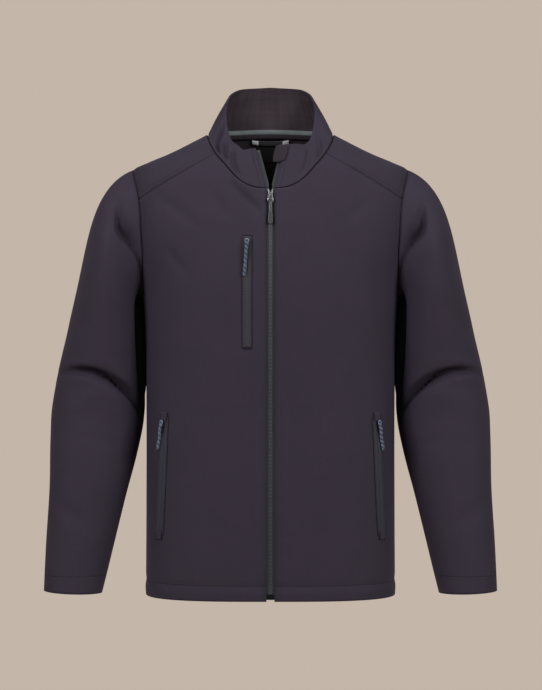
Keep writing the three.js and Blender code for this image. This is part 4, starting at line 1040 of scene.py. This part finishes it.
def loop_grid(start, stop, lift=0.0, count=15):
    up, across = np.meshgrid(np.linspace(*LOOP["rows"], 5), np.linspace(start, stop, count), indexing="ij")
    slack = np.cos(np.pi / 2 * across / LOOP["wide"])
    return on_grid(patch_coarse, across, up - 0.12 * slack,
                   -UNDER_BACK - LOOP["cloth"] / 2 - LOOP["slack"] * slack - lift)


loop_weave = woven_tape("herringbone_loop_tape", "1f2023", "3c3f43", 1.2)
white_weave = woven_tape("white_bartacked_tape_ends", "b9bbbe", "e6e7e8", 1.2)
loop_half = loop_grid(0, LOOP["wide"])
loop = cloth_piece("hanger_loop_tape", [loop_half, sided(loop_half, -1)], LOOP["cloth"], loop_weave)
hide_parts("hanger_loop")
loop_end = loop_grid(LOOP["wide"] * LOOP_END["from"], LOOP["wide"] * LOOP_END["to"], LOOP_END["lift"], 6)
for side_name, side in SIDES:
    tip = cloth_piece(f"hanger_loop_end_{side_name}", [sided(loop_end, side)], LOOP_END["cloth"], white_weave)

# The label under it: a dark satin patch with nothing printed on it, stitched to the back. It lies flat
# on the fleece.
LABEL = {"rows": (2, 3.3), "columns": 0.9, "cloth": 0.6}
label_weave = woven_tape("black_satin_label", "141518", "24262a", 0.8, sheen=0.1, roughness=0.5)
label_up, label_across = np.meshgrid(np.linspace(*LABEL["rows"], 13), np.linspace(0, LABEL["columns"], 13),
                                     indexing="ij")
label_half = on_grid(patch_coarse, label_across, label_up, -UNDER_BACK - LABEL["cloth"] / 2)
label = cloth_piece("neck_label", [label_half, sided(label_half, -1)], LABEL["cloth"], label_weave)
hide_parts("label")

# The zip: a woven tape sewn behind each front edge, carrying half of a reversed coil. Below the slider
# the two halves meet in a ribbed chain, and above it they part along the open collar.
ZIP_TAPE = {"inner": 2.4, "open_inner": 0.6, "outer": 14, "low_z": -700.5, "cloth": 0.8}
TAPE_SUNK = CLOTH / 2 + LAID_ON_GAP + ZIP_TAPE["cloth"] / 2
TAPE_COLLAR_SUNK = ON_COLLAR + ZIP_TAPE["cloth"] / 2
zip_rows = [j for j in range(len(front_flat[0])) if front_flat[0][j, 0, 2] > ZIP_TAPE["low_z"]]
front_rows = np.array([zip_rows[0], *zip_rows[1:-1:3], zip_rows[-1] - 0.5])
collar_rows = np.linspace(0.5, 4.8, 20)
zip_tape_weave = woven_tape("zip_twill_tape", "191b20", "2c2f35", 1.1, bands="X", roughness=0.7)


def tape_strip(pair, rows, inner, sunk):
    """The tape along one piece's first edge, from its inner to its outer side, sunk under the cloth."""
    reach = np.linspace(inner - ZIP_HALF, ZIP_TAPE["outer"] - ZIP_HALF, 8)
    strips = [from_edge(pair, reach, np.full(8, up), -sunk) for up in rows]
    return [np.array(grids) for grids in zip(*strips)]


front_strip = tape_strip(front_flat, front_rows, ZIP_TAPE["inner"], TAPE_SUNK)
for side_name, side in SIDES:
    collar_strip = tape_strip(collar_coarse[side_name], collar_rows, ZIP_TAPE["open_inner"], TAPE_COLLAR_SUNK)
    strip = [np.concatenate(grids) for grids in zip(front_strip, collar_strip)]
    tape = cloth_piece(f"zip_tape_woven_{side_name}", [sided(strip, side)], ZIP_TAPE["cloth"],
                       zip_tape_weave)
    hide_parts(f"zip_tape_{side_name}")

# Half the coil along each open collar edge: a ribbed round of moulded nylon turns, sewn on the tape's
# hidden side.
OPEN_COIL = {"wide": 2.4, "high": 1.5, "turn": 1.3, "narrow": 0.82, "in": 0.4, "sunk": 0.8}
TUBE_SIDES = 8


def run_along(points):
    """How far along its line each point lies."""
    return np.concatenate([[0], np.cumsum(np.linalg.norm(np.diff(points, axis=0), axis=-1))])


def read_at(rows, known, places):
    """Rows of three numbers, read between their known places."""
    return np.stack([np.interp(places, known, rows[:, k]) for k in range(3)], -1)


def round_tube(shape, points, across, out, wide, high, material_index=0):
    """A closed tube along a line of points, by its half width and half height at each of them."""
    turn = np.linspace(0, 2 * math.pi, TUBE_SIDES, endpoint=False)
    made = bmesh.ops.create_grid(shape, x_segments=TUBE_SIDES, y_segments=len(points) - 1, size=1)
    for vertex in made["verts"]:
        i = round((vertex.co.x + 1) / 2 * TUBE_SIDES) % TUBE_SIDES
        j = round((vertex.co.y + 1) / 2 * (len(points) - 1))
        vertex.co = (points[j] + across[j] * math.cos(turn[i]) * wide[j]
                     + out[j] * math.sin(turn[i]) * high[j]) / 1000
    for face in {face for vertex in made["verts"] for face in vertex.link_faces}:
        face.material_index = material_index
    bmesh.ops.remove_doubles(shape, verts=made["verts"], dist=1e-6)
    ends = [edge for edge in shape.edges if edge.is_boundary]
    for face in bmesh.ops.holes_fill(shape, edges=ends, sides=TUBE_SIDES)["faces"]:
        face.material_index = material_index


def coated_thread(name, colour, roughness=0.45, specular=0.4):
    """Moulded nylon: an even colour with a soft shine and a faint unevenness in its gloss."""
    made, tree, shader = blank_material(name, Specular_IOR_Level=specular)
    place = add_node(tree, "ShaderNodeTexCoord").outputs["Object"]
    grain = noise(tree, place, 700.0, 2.0)
    tinted(tree, shader, ranged(tree, grain, From_Min=0.3, From_Max=0.7, To_Min=0.85, To_Max=1.15), colour)
    gloss = ranged(tree, grain, To_Min=roughness - 0.1, To_Max=roughness + 0.1)
    tree.links.new(gloss, shader.inputs["Roughness"])
    return made


open_coil_nylon = coated_thread("zip_open_coil_nylon", "1b1c20")
coil_reach = np.array(ZIP_TAPE["open_inner"] - ZIP_HALF + OPEN_COIL["in"])
coil_sunk = -TAPE_COLLAR_SUNK - ZIP_TAPE["cloth"] / 2 - OPEN_COIL["sunk"]
for side_name, side in SIDES:
    lines = [from_edge(collar_coarse[side_name], coil_reach, np.array(up), coil_sunk)
             for up in np.linspace(0.45, 4.75, 30)]
    points, normals = sided([np.array(grids) for grids in zip(*lines)], side)
    reach = run_along(points)
    places = np.arange(0, reach[-1], OPEN_COIL["turn"] / 2)
    at = read_at(points, reach, places)
    out = unit(read_at(normals, reach, places))
    across = unit(np.cross(unit(np.gradient(at, axis=0)), out))
    swell = np.where(np.arange(len(places)) % 2 == 0, 1.0, OPEN_COIL["narrow"])
    shape = bmesh.new()
    round_tube(shape, at, across, out, OPEN_COIL["wide"] / 2 * swell, OPEN_COIL["high"] / 2 * swell)
    bmesh.ops.recalc_face_normals(shape, faces=shape.faces)
    rib = shown(f"zip_coil_open_{side_name}", shape, open_coil_nylon)
    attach(rib, "garment")

# The closed chain, seen from its tape side: two low ribs of the reversed coil that meet in a fine groove.
# It is nylon, woven in with the tape's edges.
ZIP_CHAIN = {"half": 2.7, "cloth": 1.2}
CHAIN_ACROSS = np.array([-1, -0.86, -0.6, -0.3, -0.08, 0, 0.08, 0.3, 0.6, 0.86, 1])
CHAIN_RISE = np.array([-0.35, 0.15, 0.5, 0.42, 0.1, -0.3, 0.1, 0.42, 0.5, 0.15, -0.35])
coil_weave = woven_tape("zip_reversed_coil", "23252b", "393c43", 0.9, sheen=0.1, roughness=0.5)
chain_points, chain_normals = [], []
for up in front_rows:
    middle, normal = from_edge(front_flat, np.array(ZIP_CHAIN["half"] - ZIP_HALF), np.array(up), -TAPE_SUNK)
    facing = unit(normal * [0, 1, 1])
    row = (middle * [0, 1, 1] + np.outer(CHAIN_ACROSS, [ZIP_CHAIN["half"], 0, 0])
           + np.outer(CHAIN_RISE, facing))
    chain_points.append(row)
    chain_normals.append(np.broadcast_to(facing, row.shape))
chain = cloth_piece("zip_chain_closed", [[np.array(chain_points), np.array(chain_normals)]],
                    ZIP_CHAIN["cloth"], coil_weave)
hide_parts("zip_chain")

# Topstitching beside the zip: a row of polyester lockstitch along each front and collar edge, that
# holds the zip tape behind it.
ON_CLOTH = CLOTH / 2 + 0.12
ZIP_STITCH = 9.5
seam_thread = coated_thread("polyester_sewing_thread", "2b2731", 0.6, 0.3)


def stitches(name, lines, thread, pitch=3.4, long=2.6, thick=0.42):
    """Rows of stitches: one short rounded stretch of thread for every stitch, laid on the cloth."""
    shape = bmesh.new()
    for points, normals in lines:
        reach = run_along(points)
        places = np.arange(pitch / 2, reach[-1] - pitch / 2, pitch)
        at = read_at(points, reach, places)
        along = unit(read_at(points, reach, places + 0.5) - at)
        side = unit(np.cross(unit(read_at(normals, reach, places)), along))
        up = np.cross(along, side)
        for k in range(len(places)):
            place = Matrix((along[k] * long / 2000, side[k] * thick / 2000,
                            up[k] * thick / 2400)).transposed().to_4x4()
            place.translation = Vector(at[k] / 1000)
            bmesh.ops.create_icosphere(shape, subdivisions=1, radius=1, matrix=place)
    sewn = shown(name, shape, thread)
    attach(sewn, "garment")


def inset_line(pair, offset, out, first=0, last=None):
    """A line on a piece at a set distance in from its first column, lifted off the cloth."""
    points, normals = (g[first:last] for g in pair)
    width = np.linalg.norm(points[:, 1:] - points[:, :-1], axis=-1)
    reach = np.concatenate([np.zeros((len(points), 1)), np.cumsum(width, 1)], 1)
    i = np.clip((reach < offset).sum(1), 1, points.shape[1] - 1)
    rows = np.arange(len(points))
    t = ((offset - reach[rows, i - 1]) / width[rows, i - 1])[:, None]
    n = unit(mix(normals[rows, i - 1], normals[rows, i], t))
    return mix(points[rows, i - 1], points[rows, i], t) + n * out, n


def from_last(pair):
    return [g[:, ::-1] for g in pair]


def sideways(pair):
    return [g.transpose(1, 0, 2) for g in pair]


for (side_name, side), collar_half in zip(SIDES, collar_cloth):
    lines = [sided(inset_line(front_cloth, ZIP_STITCH, ON_CLOTH, 2, -2), side),
             inset_line(collar_half, ZIP_STITCH - 1, COLLAR_CLOTH / 2 + 0.12, 1, -1)]
    stitches(f"zip_topstitch_{side_name}", lines, seam_thread)

# The slider: a die-cast body with two horns that part the tapes, and two lugs that hold the pull's pin.
# It is plated in satin nickel, with a painted highlight along its edges.
SLIDER = {"wide": 10, "high": 21, "plate": 2.2, "lug": 1.5, "lug_high": 4.6}
SLIDER_Z = -92
SLIDER_SUNK = -TAPE_SUNK + 0.8 + LAID_ON_GAP


def satin_metal(name, colour, edge_highlight, roughness):
    """Plated zinc: brushed fine, with a painted highlight that makes its edges brighter, by uneven amounts.
    """
    made, tree, shader = blank_material(name, Metallic=1)
    place = add_node(tree, "ShaderNodeTexCoord").outputs["Object"]
    grain = noise(tree, place, 420.0, 4.0)
    brushed = add_node(tree, "ShaderNodeMapping", [(place, "Vector")], Scale=(4000, 300, 300))
    lines = noise(tree, brushed.outputs["Vector"], 1.0, 2.0)
    bevel_normal = add_node(tree, "ShaderNodeBevel", samples=4, Radius=0.0005)
    facing = add_node(tree, "ShaderNodeNewGeometry")
    turn = add_node(tree, "ShaderNodeVectorMath", operation="DOT_PRODUCT",
                    links=[(bevel_normal.outputs["Normal"], 0), (facing.outputs["Normal"], 1)])
    # Painted highlight: the colour turns to the brighter one along the edges, where the rounded normal leaves
    # the face's.
    edge = ranged(tree, turn.outputs["Value"], From_Min=0.97, From_Max=0.8, To_Min=0.0, To_Max=0.8)
    blended(tree, shader, worked(tree, "MULTIPLY", edge, grain), colour, edge_highlight)
    gloss = ranged(tree, lines, To_Min=roughness - 0.08, To_Max=roughness + 0.12)
    tree.links.new(gloss, shader.inputs["Roughness"])
    bumped(tree, shader, lines, Distance=0.00004, Strength=0.4)
    return made


def seat(x, z, out):
    """The frame of a hard piece on a front: across, up the cloth and out of it, at one place."""
    point, n = on_front(x, z, out)
    across = unit(np.array([-n[1], n[0], 0.0]))
    up = np.cross(n, across)
    frame_rows = Matrix((across, up, n)).transposed().to_4x4()
    frame_rows.translation = Vector(point)
    return Matrix.Scale(0.001, 4) @ frame_rows


def plate(shape, corners, low, high, soften, segments=2):
    """A flat casting with the given outline, from one height to another, its edges rounded."""
    base = shape.verts[:]
    made = [shape.verts.new((x, y, low)) for x, y in corners]
    face = shape.faces.new(made)
    raised = bmesh.ops.extrude_face_region(shape, geom=[face])["geom"]
    bmesh.ops.translate(shape, verts=[v for v in raised if isinstance(v, bmesh.types.BMVert)],
                        vec=(0, 0, high - low))
    added = [v for v in shape.verts if v not in set(base)]
    edges = {edge for vertex in added for edge in vertex.link_edges}
    bmesh.ops.recalc_face_normals(shape, faces=list({f for v in added for f in v.link_faces}))
    bmesh.ops.bevel(shape, geom=list(edges), affect="EDGES", offset=soften, segments=segments, profile=0.5,
                    material=-1)

def two_sided(right):
    """A closed outline from its right half, from low to high."""
    left = [(-x, y) for x, y in reversed(right)]
    return left[-1:] + right + left[:-1]

def block(shape, wide, high, thick, centre, soften, segments=2):
    """A rounded block by its sizes across, up and out, and its centre."""
    x, y, z = centre
    plate(shape, [(x - wide / 2, y - high / 2), (x + wide / 2, y - high / 2), (x + wide / 2, y + high / 2),
                  (x - wide / 2, y + high / 2)], z - thick / 2, z + thick / 2, soften, segments)


def rod(shape, radius, long, centre, sides=16):
    """A rod across the jacket."""
    place = Matrix.Translation(centre) @ Matrix.Rotation(math.pi / 2, 4, "Y")
    bmesh.ops.create_cone(shape, cap_ends=True, segments=sides, radius1=radius, radius2=radius, depth=long,
                          matrix=place)


def cast(name, shape, place, material, body="garment"):
    """A hard piece set on its seat, flat faces kept flat."""
    bmesh.ops.transform(shape, verts=shape.verts, matrix=place)
    bmesh.ops.recalc_face_normals(shape, faces=shape.faces)
    piece = shown(name, shape, material)
    for polygon in piece.data.polygons:
        polygon.use_smooth = False
    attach(piece, body)
    return piece


nickel = satin_metal("satin_nickel_plate", "6f7173", "b9bbbc", 0.36)
slider_seat = seat(0, SLIDER_Z, SLIDER_SUNK)
half, tall = SLIDER["wide"] / 2, SLIDER["high"] / 2
slider_shape = bmesh.new()
outline = two_sided([(half * 0.7, -tall), (half, -tall * 0.6), (half * 0.62, tall * 0.3), (half * 0.8, tall),
                     (2, tall), (1.2, tall - 6)])
plate(slider_shape, outline, 0, SLIDER["plate"], 0.5)
HINGE_UP = -tall + 3.4
LUG_X = half - SLIDER["lug"]
for side in (-1, 1):
    block(slider_shape, SLIDER["lug"], 5, SLIDER["lug_high"],
          (side * LUG_X, HINGE_UP, SLIDER["plate"] - 0.2 + SLIDER["lug_high"] / 2), 0.35)
block(slider_shape, 2.4, 6.5, 1.2, (0, 1.6, SLIDER["plate"] + 0.4), 0.35)
slider = cast("zip_slider_body", slider_shape, slider_seat, nickel)
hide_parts("zip_slider")

# The pull: a barrel on a pin between the lugs, a flat stem with a slot down it, and a wider grip with
# shallow ribs. It is cast in one piece and swings on its pin.
PULL = {"stem": 4.0, "stem_long": 20, "grip": 7.0, "grip_long": 19, "thick": 1.8, "knuckle": 1.7}
HINGE_OUT = SLIDER["plate"] + PULL["knuckle"] + 0.4
pull_shape = bmesh.new()
rod(pull_shape, PULL["knuckle"], 2.6, (0, HINGE_UP, HINGE_OUT))
rod(pull_shape, 0.7, 2 * (LUG_X - SLIDER["lug"] / 2 - 0.3), (0, HINGE_UP, HINGE_OUT))
stem_low = HINGE_UP - PULL["stem_long"]
for side in (-1, 1):
    block(pull_shape, 1.35, PULL["stem_long"] - 1, PULL["thick"],
          (side * (PULL["stem"] / 2 - 0.68), HINGE_UP - PULL["stem_long"] / 2 - 0.8, HINGE_OUT), 0.4)
block(pull_shape, PULL["stem"] - 1.9, PULL["stem_long"] - 2, PULL["thick"] * 0.45,
      (0, HINGE_UP - PULL["stem_long"] / 2 - 0.8, HINGE_OUT), 0.2)
dull_nickel = satin_metal("dull_nickel_pull_plate", "4f5153", "8b8d8f", 0.45)
pull_stem = cast("zip_pull_stem", pull_shape, slider_seat, dull_nickel, body="zip_pull")
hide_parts("zip_pull")
grip_shape = bmesh.new()
half = PULL["grip"] / 2
grip_top, grip_low = stem_low + 1, stem_low + 1 - PULL["grip_long"]
grip_thick = PULL["thick"] * 0.62
plate(grip_shape, [(-half * 0.62, grip_top), (-half * 0.94, grip_top - 3.2), (-half, grip_low + 1.2),
                   (-half + 1.2, grip_low), (half - 1.2, grip_low), (half, grip_low + 1.2),
                   (half * 0.94, grip_top - 3.2), (half * 0.62, grip_top)],
      HINGE_OUT - grip_thick, HINGE_OUT + grip_thick, 0.5)
for step in range(5):
    block(grip_shape, PULL["grip"] - 2.4, 0.9, 0.5,
          (0, grip_low + 3 + 2.6 * step, HINGE_OUT + grip_thick + 0.1), 0.2)
gunmetal = satin_metal("gunmetal_grip_plate", "4a494d", "7c7b80", 0.5)
cast("zip_pull_grip", grip_shape, slider_seat, gunmetal, body="zip_pull")

# The box at the hem that the zip starts from: a clamped casting round both tapes, with the pin's end.
# It is plated dark, with a painted highlight along its edges.
END_Z = -695.5
end_shape = bmesh.new()
block(end_shape, 9.5, 8, 3, (0, 0, 0), 0.7, 3)
block(end_shape, 1.1, 8.4, 0.8, (0.9, 0, 1.6), 0.3)
for side in (-1, 1):
    block(end_shape, 1.6, 3.4, 0.9, (side * 3.4, 1.2, 1.6), 0.35)
box_plate = satin_metal("blackened_box_plate", "232427", "5a5b5e", 0.42)
end_box = cast("zip_bottom_stop", end_shape, seat(0, END_Z, -TAPE_SUNK), box_plate)
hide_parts("zip_bottom_box")

# Pockets: a zip with its coil turned inside lies flush in a narrow slot of the front, its laminated face
# matte, between two turned edges that are stitched down. The hand pockets' ends are covered by patches.
CHEST_POCKET = {"top": (35, -154), "low": (35, -321), "wide": 12}
HAND_POCKET = {"top": (162, -428), "low": (170, -604), "wide": 11}
POCKET_TAPE = 0.8
PATCH = {"wide": 10, "high": 14, "past": 9, "cloth": 0.8}
LIP = {"wide": 2.0, "high": 0.9, "cloth": 0.7, "past": 1.5}
POCKETS = (("chest", CHEST_POCKET, -1, False), ("hand_right", HAND_POCKET, -1, True),
           ("hand_left", HAND_POCKET, 1, True))
POCKET_STITCH = {"in": 2.6, "past": 3}
TACK = {"step": 0.75, "half": 1.15, "end_half": 1.1, "past": 1.2}


def pocket_strip(pocket, down, off, lift):
    """Points on a front by distance down a pocket's line and across it, lifted off the cloth."""
    top, low = np.array(pocket["top"], float), np.array(pocket["low"], float)
    along = (low - top) / np.linalg.norm(low - top)
    down, off = np.meshgrid(down, off, indexing="ij")
    x = top[0] + along[0] * down - along[1] * off
    z = top[1] + along[1] * down + along[0] * off
    return on_front(x, z, CLOTH / 2 + LAID_ON_GAP + np.broadcast_to(lift, x.shape))


def pocket_length(pocket):
    return math.dist(pocket["top"], pocket["low"])


chest_face = woven_tape("laminated_zip_face", "201f27", "2c2b32", 0.7, sheen=0.05, roughness=0.62)
hand_face = woven_tape("navy_zip_face", "1f1f29", "2b2b37", 0.7, sheen=0.05, roughness=0.6)
bartack_thread = coated_thread("navy_bartack_thread", "15141d", 0.6, 0.3)
patch_cloth = softshell("softshell_patch", "2c2733", 0.12, 0.5)
FACE_ACROSS = np.array([-1, -0.92, -0.5, -0.12, -0.04, 0, 0.04, 0.12, 0.5, 0.92, 1])
FACE_RISE = np.array([0, 0.05, 0.12, 0.1, -0.12, -0.25, -0.12, 0.1, 0.12, 0.05, 0])


def patch_tacks(name, pocket, side, long):
    """The two patches over a pocket's ends, and the middle lines of the bartacks down their sides."""
    lift = POCKET_TAPE + LAID_ON_GAP + PATCH["cloth"] / 2
    near = np.minimum(np.linspace(0, 1, 14), np.linspace(1, 0, 14))
    sunk = lift + 0.35 * (1 - np.exp(-(np.minimum.outer(14 * near, 10 * near) / 1.5) ** 2))
    tacks = []
    for end, start in (("top", -PATCH["past"]), ("low", long - PATCH["high"] + PATCH["past"])):
        stop = start + PATCH["high"]
        cover = pocket_strip(pocket, np.linspace(start, stop, 14),
                             np.linspace(-PATCH["wide"] / 2, PATCH["wide"] / 2, 14), sunk)
        patch = cloth_piece(f"{name}_patch_{end}_cloth", [sided(cover, side)], PATCH["cloth"], patch_cloth)
        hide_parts(f"{name}_patch_{end}")
        for edge in (-1, 1):
            middle = edge * (PATCH["wide"] / 2 - 0.7)
            ends = np.array([middle - TACK["half"], middle + TACK["half"]])
            for step in np.arange(start + 0.6, stop - 0.4, TACK["step"]):
                row = pocket_strip(pocket, np.array([step]), ends, lift + PATCH["cloth"] / 2 + 0.25)
                tacks.append(sided([g[0] for g in row], side))
    return tacks


def end_tacks(pocket, side, long):
    """The middle lines of a bartack across each end of a pocket without patches."""
    tacks = []
    for at in (-TACK["past"], long + TACK["past"]):
        ends = np.array([at - TACK["end_half"], at + TACK["end_half"]])
        for step in np.arange(-pocket["wide"] / 2 - 0.4, pocket["wide"] / 2 + 0.5, TACK["step"]):
            row = pocket_strip(pocket, ends, np.array([step]), POCKET_TAPE + 0.5)
            tacks.append(sided([g[:, 0] for g in row], side))
    return tacks


for name, pocket, side, patched in POCKETS:
    long = pocket_length(pocket)
    half = pocket["wide"] / 2
    face = pocket_strip(pocket, np.linspace(0, long, 60), FACE_ACROSS * half, FACE_RISE + POCKET_TAPE / 2)
    strip = cloth_piece(f"{name}_zip_face", [sided(face, side)], POCKET_TAPE,
                        hand_face if patched else chest_face)
    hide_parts(f"{name}_zip")
    lips, lip_shade_distances = [], []
    lap = np.linspace(-1, 1, 7)
    rise = LIP["high"] * np.sqrt(np.maximum(0, 1 - lap ** 2)) + 0.15
    for edge in (-1, 1):
        # These distances paint shade on the lips: darker along the inner edge beside the zip, as its shadow,
        # and along the outer edge.
        lip_shade_distances.append(np.tile(np.abs(lap + edge) * LIP["wide"] / 2, (60, 1)))
        lips.append(sided(pocket_strip(pocket, np.linspace(-LIP["past"], long + LIP["past"], 60),
                                       edge * (half + 0.5) + lap * LIP["wide"] / 2, rise), side))
    edges = cloth_piece(f"{name}_turned_edges", lips, LIP["cloth"], face_cloth, seam=lip_shade_distances)
    out, past = half + POCKET_STITCH["in"], POCKET_STITCH["past"]
    down, across = np.linspace(-past, long + past, 80), np.linspace(-out, out, 12)
    rows = [[g[:, 0] for g in pocket_strip(pocket, down, np.array([off]), -0.12)] for off in (-out, out)]
    rows += [[g[0] for g in pocket_strip(pocket, np.array([at]), across, -0.12)]
             for at in (-past, long + past)]
    stitches(f"{name}_topstitch", [sided(row, side) for row in rows], seam_thread, pitch=3.0, long=2.3)
    tacks = patch_tacks(name, pocket, side, long) if patched else end_tacks(pocket, side, long)
    stitches(f"{name}_bartacks", tacks, bartack_thread, pitch=2.2, long=2.2, thick=0.55)

# Pocket sliders: small blackened castings with a bridge that the pull cord is looped through. Each is
# die-cast and sits on the zip's face at the top of its pocket.
POCKET_SLIDER = {"wide": 6, "high": 9, "thick": 2, "under_patch": 1.2, "under_end": 7}
blackened = satin_metal("blackened_slider_plate", "2a2b2f", "77797c", 0.4)


def slider_place(pocket, patched):
    start = (PATCH["high"] - PATCH["past"] + POCKET_SLIDER["under_patch"] if patched
             else POCKET_SLIDER["under_end"])
    share = (start + POCKET_SLIDER["high"] / 2) / pocket_length(pocket)
    return mix(pocket["top"][0], pocket["low"][0], share), mix(pocket["top"][1], pocket["low"][1], share)


ON_FACE = CLOTH / 2 + 2 * LAID_ON_GAP + POCKET_TAPE
for name, pocket, side, patched in POCKETS:
    x, z = slider_place(pocket, patched)
    shape = bmesh.new()
    wide, high, thick = POCKET_SLIDER["wide"] / 2, POCKET_SLIDER["high"] / 2, POCKET_SLIDER["thick"]
    outline = two_sided([(wide * 0.7, -high), (wide, -high * 0.5), (wide * 0.8, high * 0.4),
                         (wide * 0.95, high)])
    plate(shape, outline, 0, thick * 0.75, 0.4)
    block(shape, 1.5, 5.2, 0.9, (0, 0.4, thick * 0.8), 0.3)
    body = cast(f"{name}_slider_body", shape, seat(side * x, z, ON_FACE), blackened)
    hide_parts(f"{name}_slider")

# Pull cords: three plied strands, two pale steel blue and one navy, that hang from the pocket sliders
# with a sealed end. The route's points are the middle of the cord, down the front from its slider.
CORD_RADIUS = 2.5
CORD_RUNS = {"chest": (4, 50), "hand_right": (7, 40), "hand_left": (7, 40)}
PLY = {"turn": 7, "off": 1.36, "radius": 1.27, "step": 0.55}
EYE = {"up": 1.8, "in": 0.5, "wide": 2.3, "high": 2.9, "radius": 1.1}


def cord_fibre(name, colour, dark):
    """Textured polyester strands: fine filaments along the ply, darker between them."""
    made, tree, shader = blank_material(name, Roughness=0.7, Sheen_Weight=0.1)
    grain = noise(tree, add_node(tree, "ShaderNodeTexCoord").outputs["Object"], 1500.0, 3.0)
    blended(tree, shader, grain, dark, colour)
    bumped(tree, shader, grain, Distance=0.0002, Strength=0.6)
    return made


pale_strand = cord_fibre("steel_blue_cord_strand", "6c7f97", "2b3748")
navy_strand = cord_fibre("navy_cord_strand", "1a2130", "0d1018")


def cord_route(name, pocket, side, patched, count=41):
    """The cord's middle line: it leaves its slider and comes to lie on the zip below."""
    x, z = slider_place(pocket, patched)
    lean, long = CORD_RUNS[name]
    t = np.linspace(0, 1, count)
    on_slider = ON_FACE + POCKET_SLIDER["thick"] + 2 * LAID_ON_GAP + CORD_RADIUS
    on_zip = CLOTH / 2 + POCKET_TAPE + 2 * LAID_ON_GAP + CORD_RADIUS
    rest = mix(on_slider, on_zip, smooth((t - 0.2) / 0.4))
    return sided(on_front(x + lean * t, z + 2 - long * t, rest), side)


def strand_tube(shape, line, across, out, radius, material_index, taper):
    """A round strand along a line, its ends drawn in over some points."""
    number = np.arange(len(line))
    drawn = radius * (0.35 + 0.65 * np.minimum(1, np.minimum(number, number[::-1]) / taper))
    round_tube(shape, line, across, out, drawn, drawn, material_index)


for name, pocket, side, patched in POCKETS:
    route, route_normals = cord_route(name, pocket, side, patched)
    length = run_along(route)[-1]
    count = int(length / PLY["step"])
    share = np.linspace(0, len(route) - 1, count)
    line = read_at(route, np.arange(len(route)), share)
    out = unit(read_at(route_normals, np.arange(len(route)), share))
    across = unit(np.cross(np.gradient(line, axis=0), out))
    shape = bmesh.new()
    for strand in range(3):
        turn = strand * 2 * math.pi / 3 + np.linspace(0, length, count) / PLY["turn"] * 2 * math.pi
        away = across * np.cos(turn)[:, None] + out * np.sin(turn)[:, None]
        strand_tube(shape, line + away * PLY["off"], across, out, PLY["radius"], int(strand == 2), 3)
    bmesh.ops.recalc_face_normals(shape, faces=shape.faces)
    cord = shown(f"{name}_pull_cord", shape, pale_strand, navy_strand)
    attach(cord, "garment")
    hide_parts(f"{name}_cord")
    # The loop through the slider's bridge: one round pale strand.
    eye = bmesh.new()
    ring = np.linspace(0, 2 * math.pi, 21)
    centre = route[0] + np.array([0, 0, EYE["up"]]) - route_normals[0] * EYE["in"]
    up = unit(np.cross(route_normals[0], [1.0, 0, 0])) * -1
    sideways_axis = unit(np.cross(up, route_normals[0]))
    loop_line = (centre + np.outer(np.cos(ring), sideways_axis) * EYE["wide"]
                 + np.outer(np.sin(ring), up) * EYE["high"])
    ring_out = np.broadcast_to(route_normals[0], loop_line.shape)
    ring_across = unit(np.cross(np.gradient(loop_line, axis=0), ring_out))
    strand_tube(eye, loop_line, ring_across, ring_out, EYE["radius"], 0, 0.01)
    bmesh.ops.recalc_face_normals(eye, faces=eye.faces)
    knot = shown(f"{name}_cord_eye", eye, pale_strand)
    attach(knot, "garment")

# Topstitching on the body's side of the armholes and along the forward shoulder seams, and the rows
# that hold up the turned hem and cuffs: a polyester thread, a shade darker than the cloth.
for side_name, side in SIDES:
    lines = []
    for row in STITCH_ROWS:
        for pair, first, last in ((front_cloth, front_side_rows + 1, None),
                                  (back_cloth[0], front_side_rows + 1, None), (back_cloth[2], 0, None),
                                  (sideways(back_cloth[2]), 1, -1)):
            lines.append(sided(inset_line(from_last(pair), row, ON_CLOTH, first, last), side))
    stitches(f"armhole_topstitch_{side_name}", lines, seam_thread)


def level_row(pair, height):
    """The line where a piece's rows reach a height above its turned edge."""
    points, normals = pair
    above = points[..., 2].mean(1) - points[0, :, 2].mean()
    j = int(np.clip(np.searchsorted(above, height) - 1, 0, len(above) - 2))
    t = (height - above[j]) / (above[j + 1] - above[j])
    n = unit(mix(normals[j], normals[j + 1], t))
    return mix(points[j], points[j + 1], t) + n * ON_CLOTH, n


above = sleeve_cloth[0][::-1, :, 2].mean(1) - SLEEVE["z"][-1]
cuff_row = int(np.searchsorted(above, CUFF_STITCH_ROW))
cuff_points, cuff_normals = (g[::-1][cuff_row] for g in sleeve_cloth)
for side_name, side in SIDES:
    lines = [level_row(front_cloth, HEM_STITCH_ROW), level_row(back_cloth[0], HEM_STITCH_ROW)]
    stitches(f"hem_stitch_{side_name}", [sided(pair, side) for pair in lines], seam_thread)
    cuff_line = sided([cuff_points + cuff_normals * ON_CLOTH, cuff_normals], side)
    stitches(f"cuff_stitch_{side_name}", [cuff_line], seam_thread)
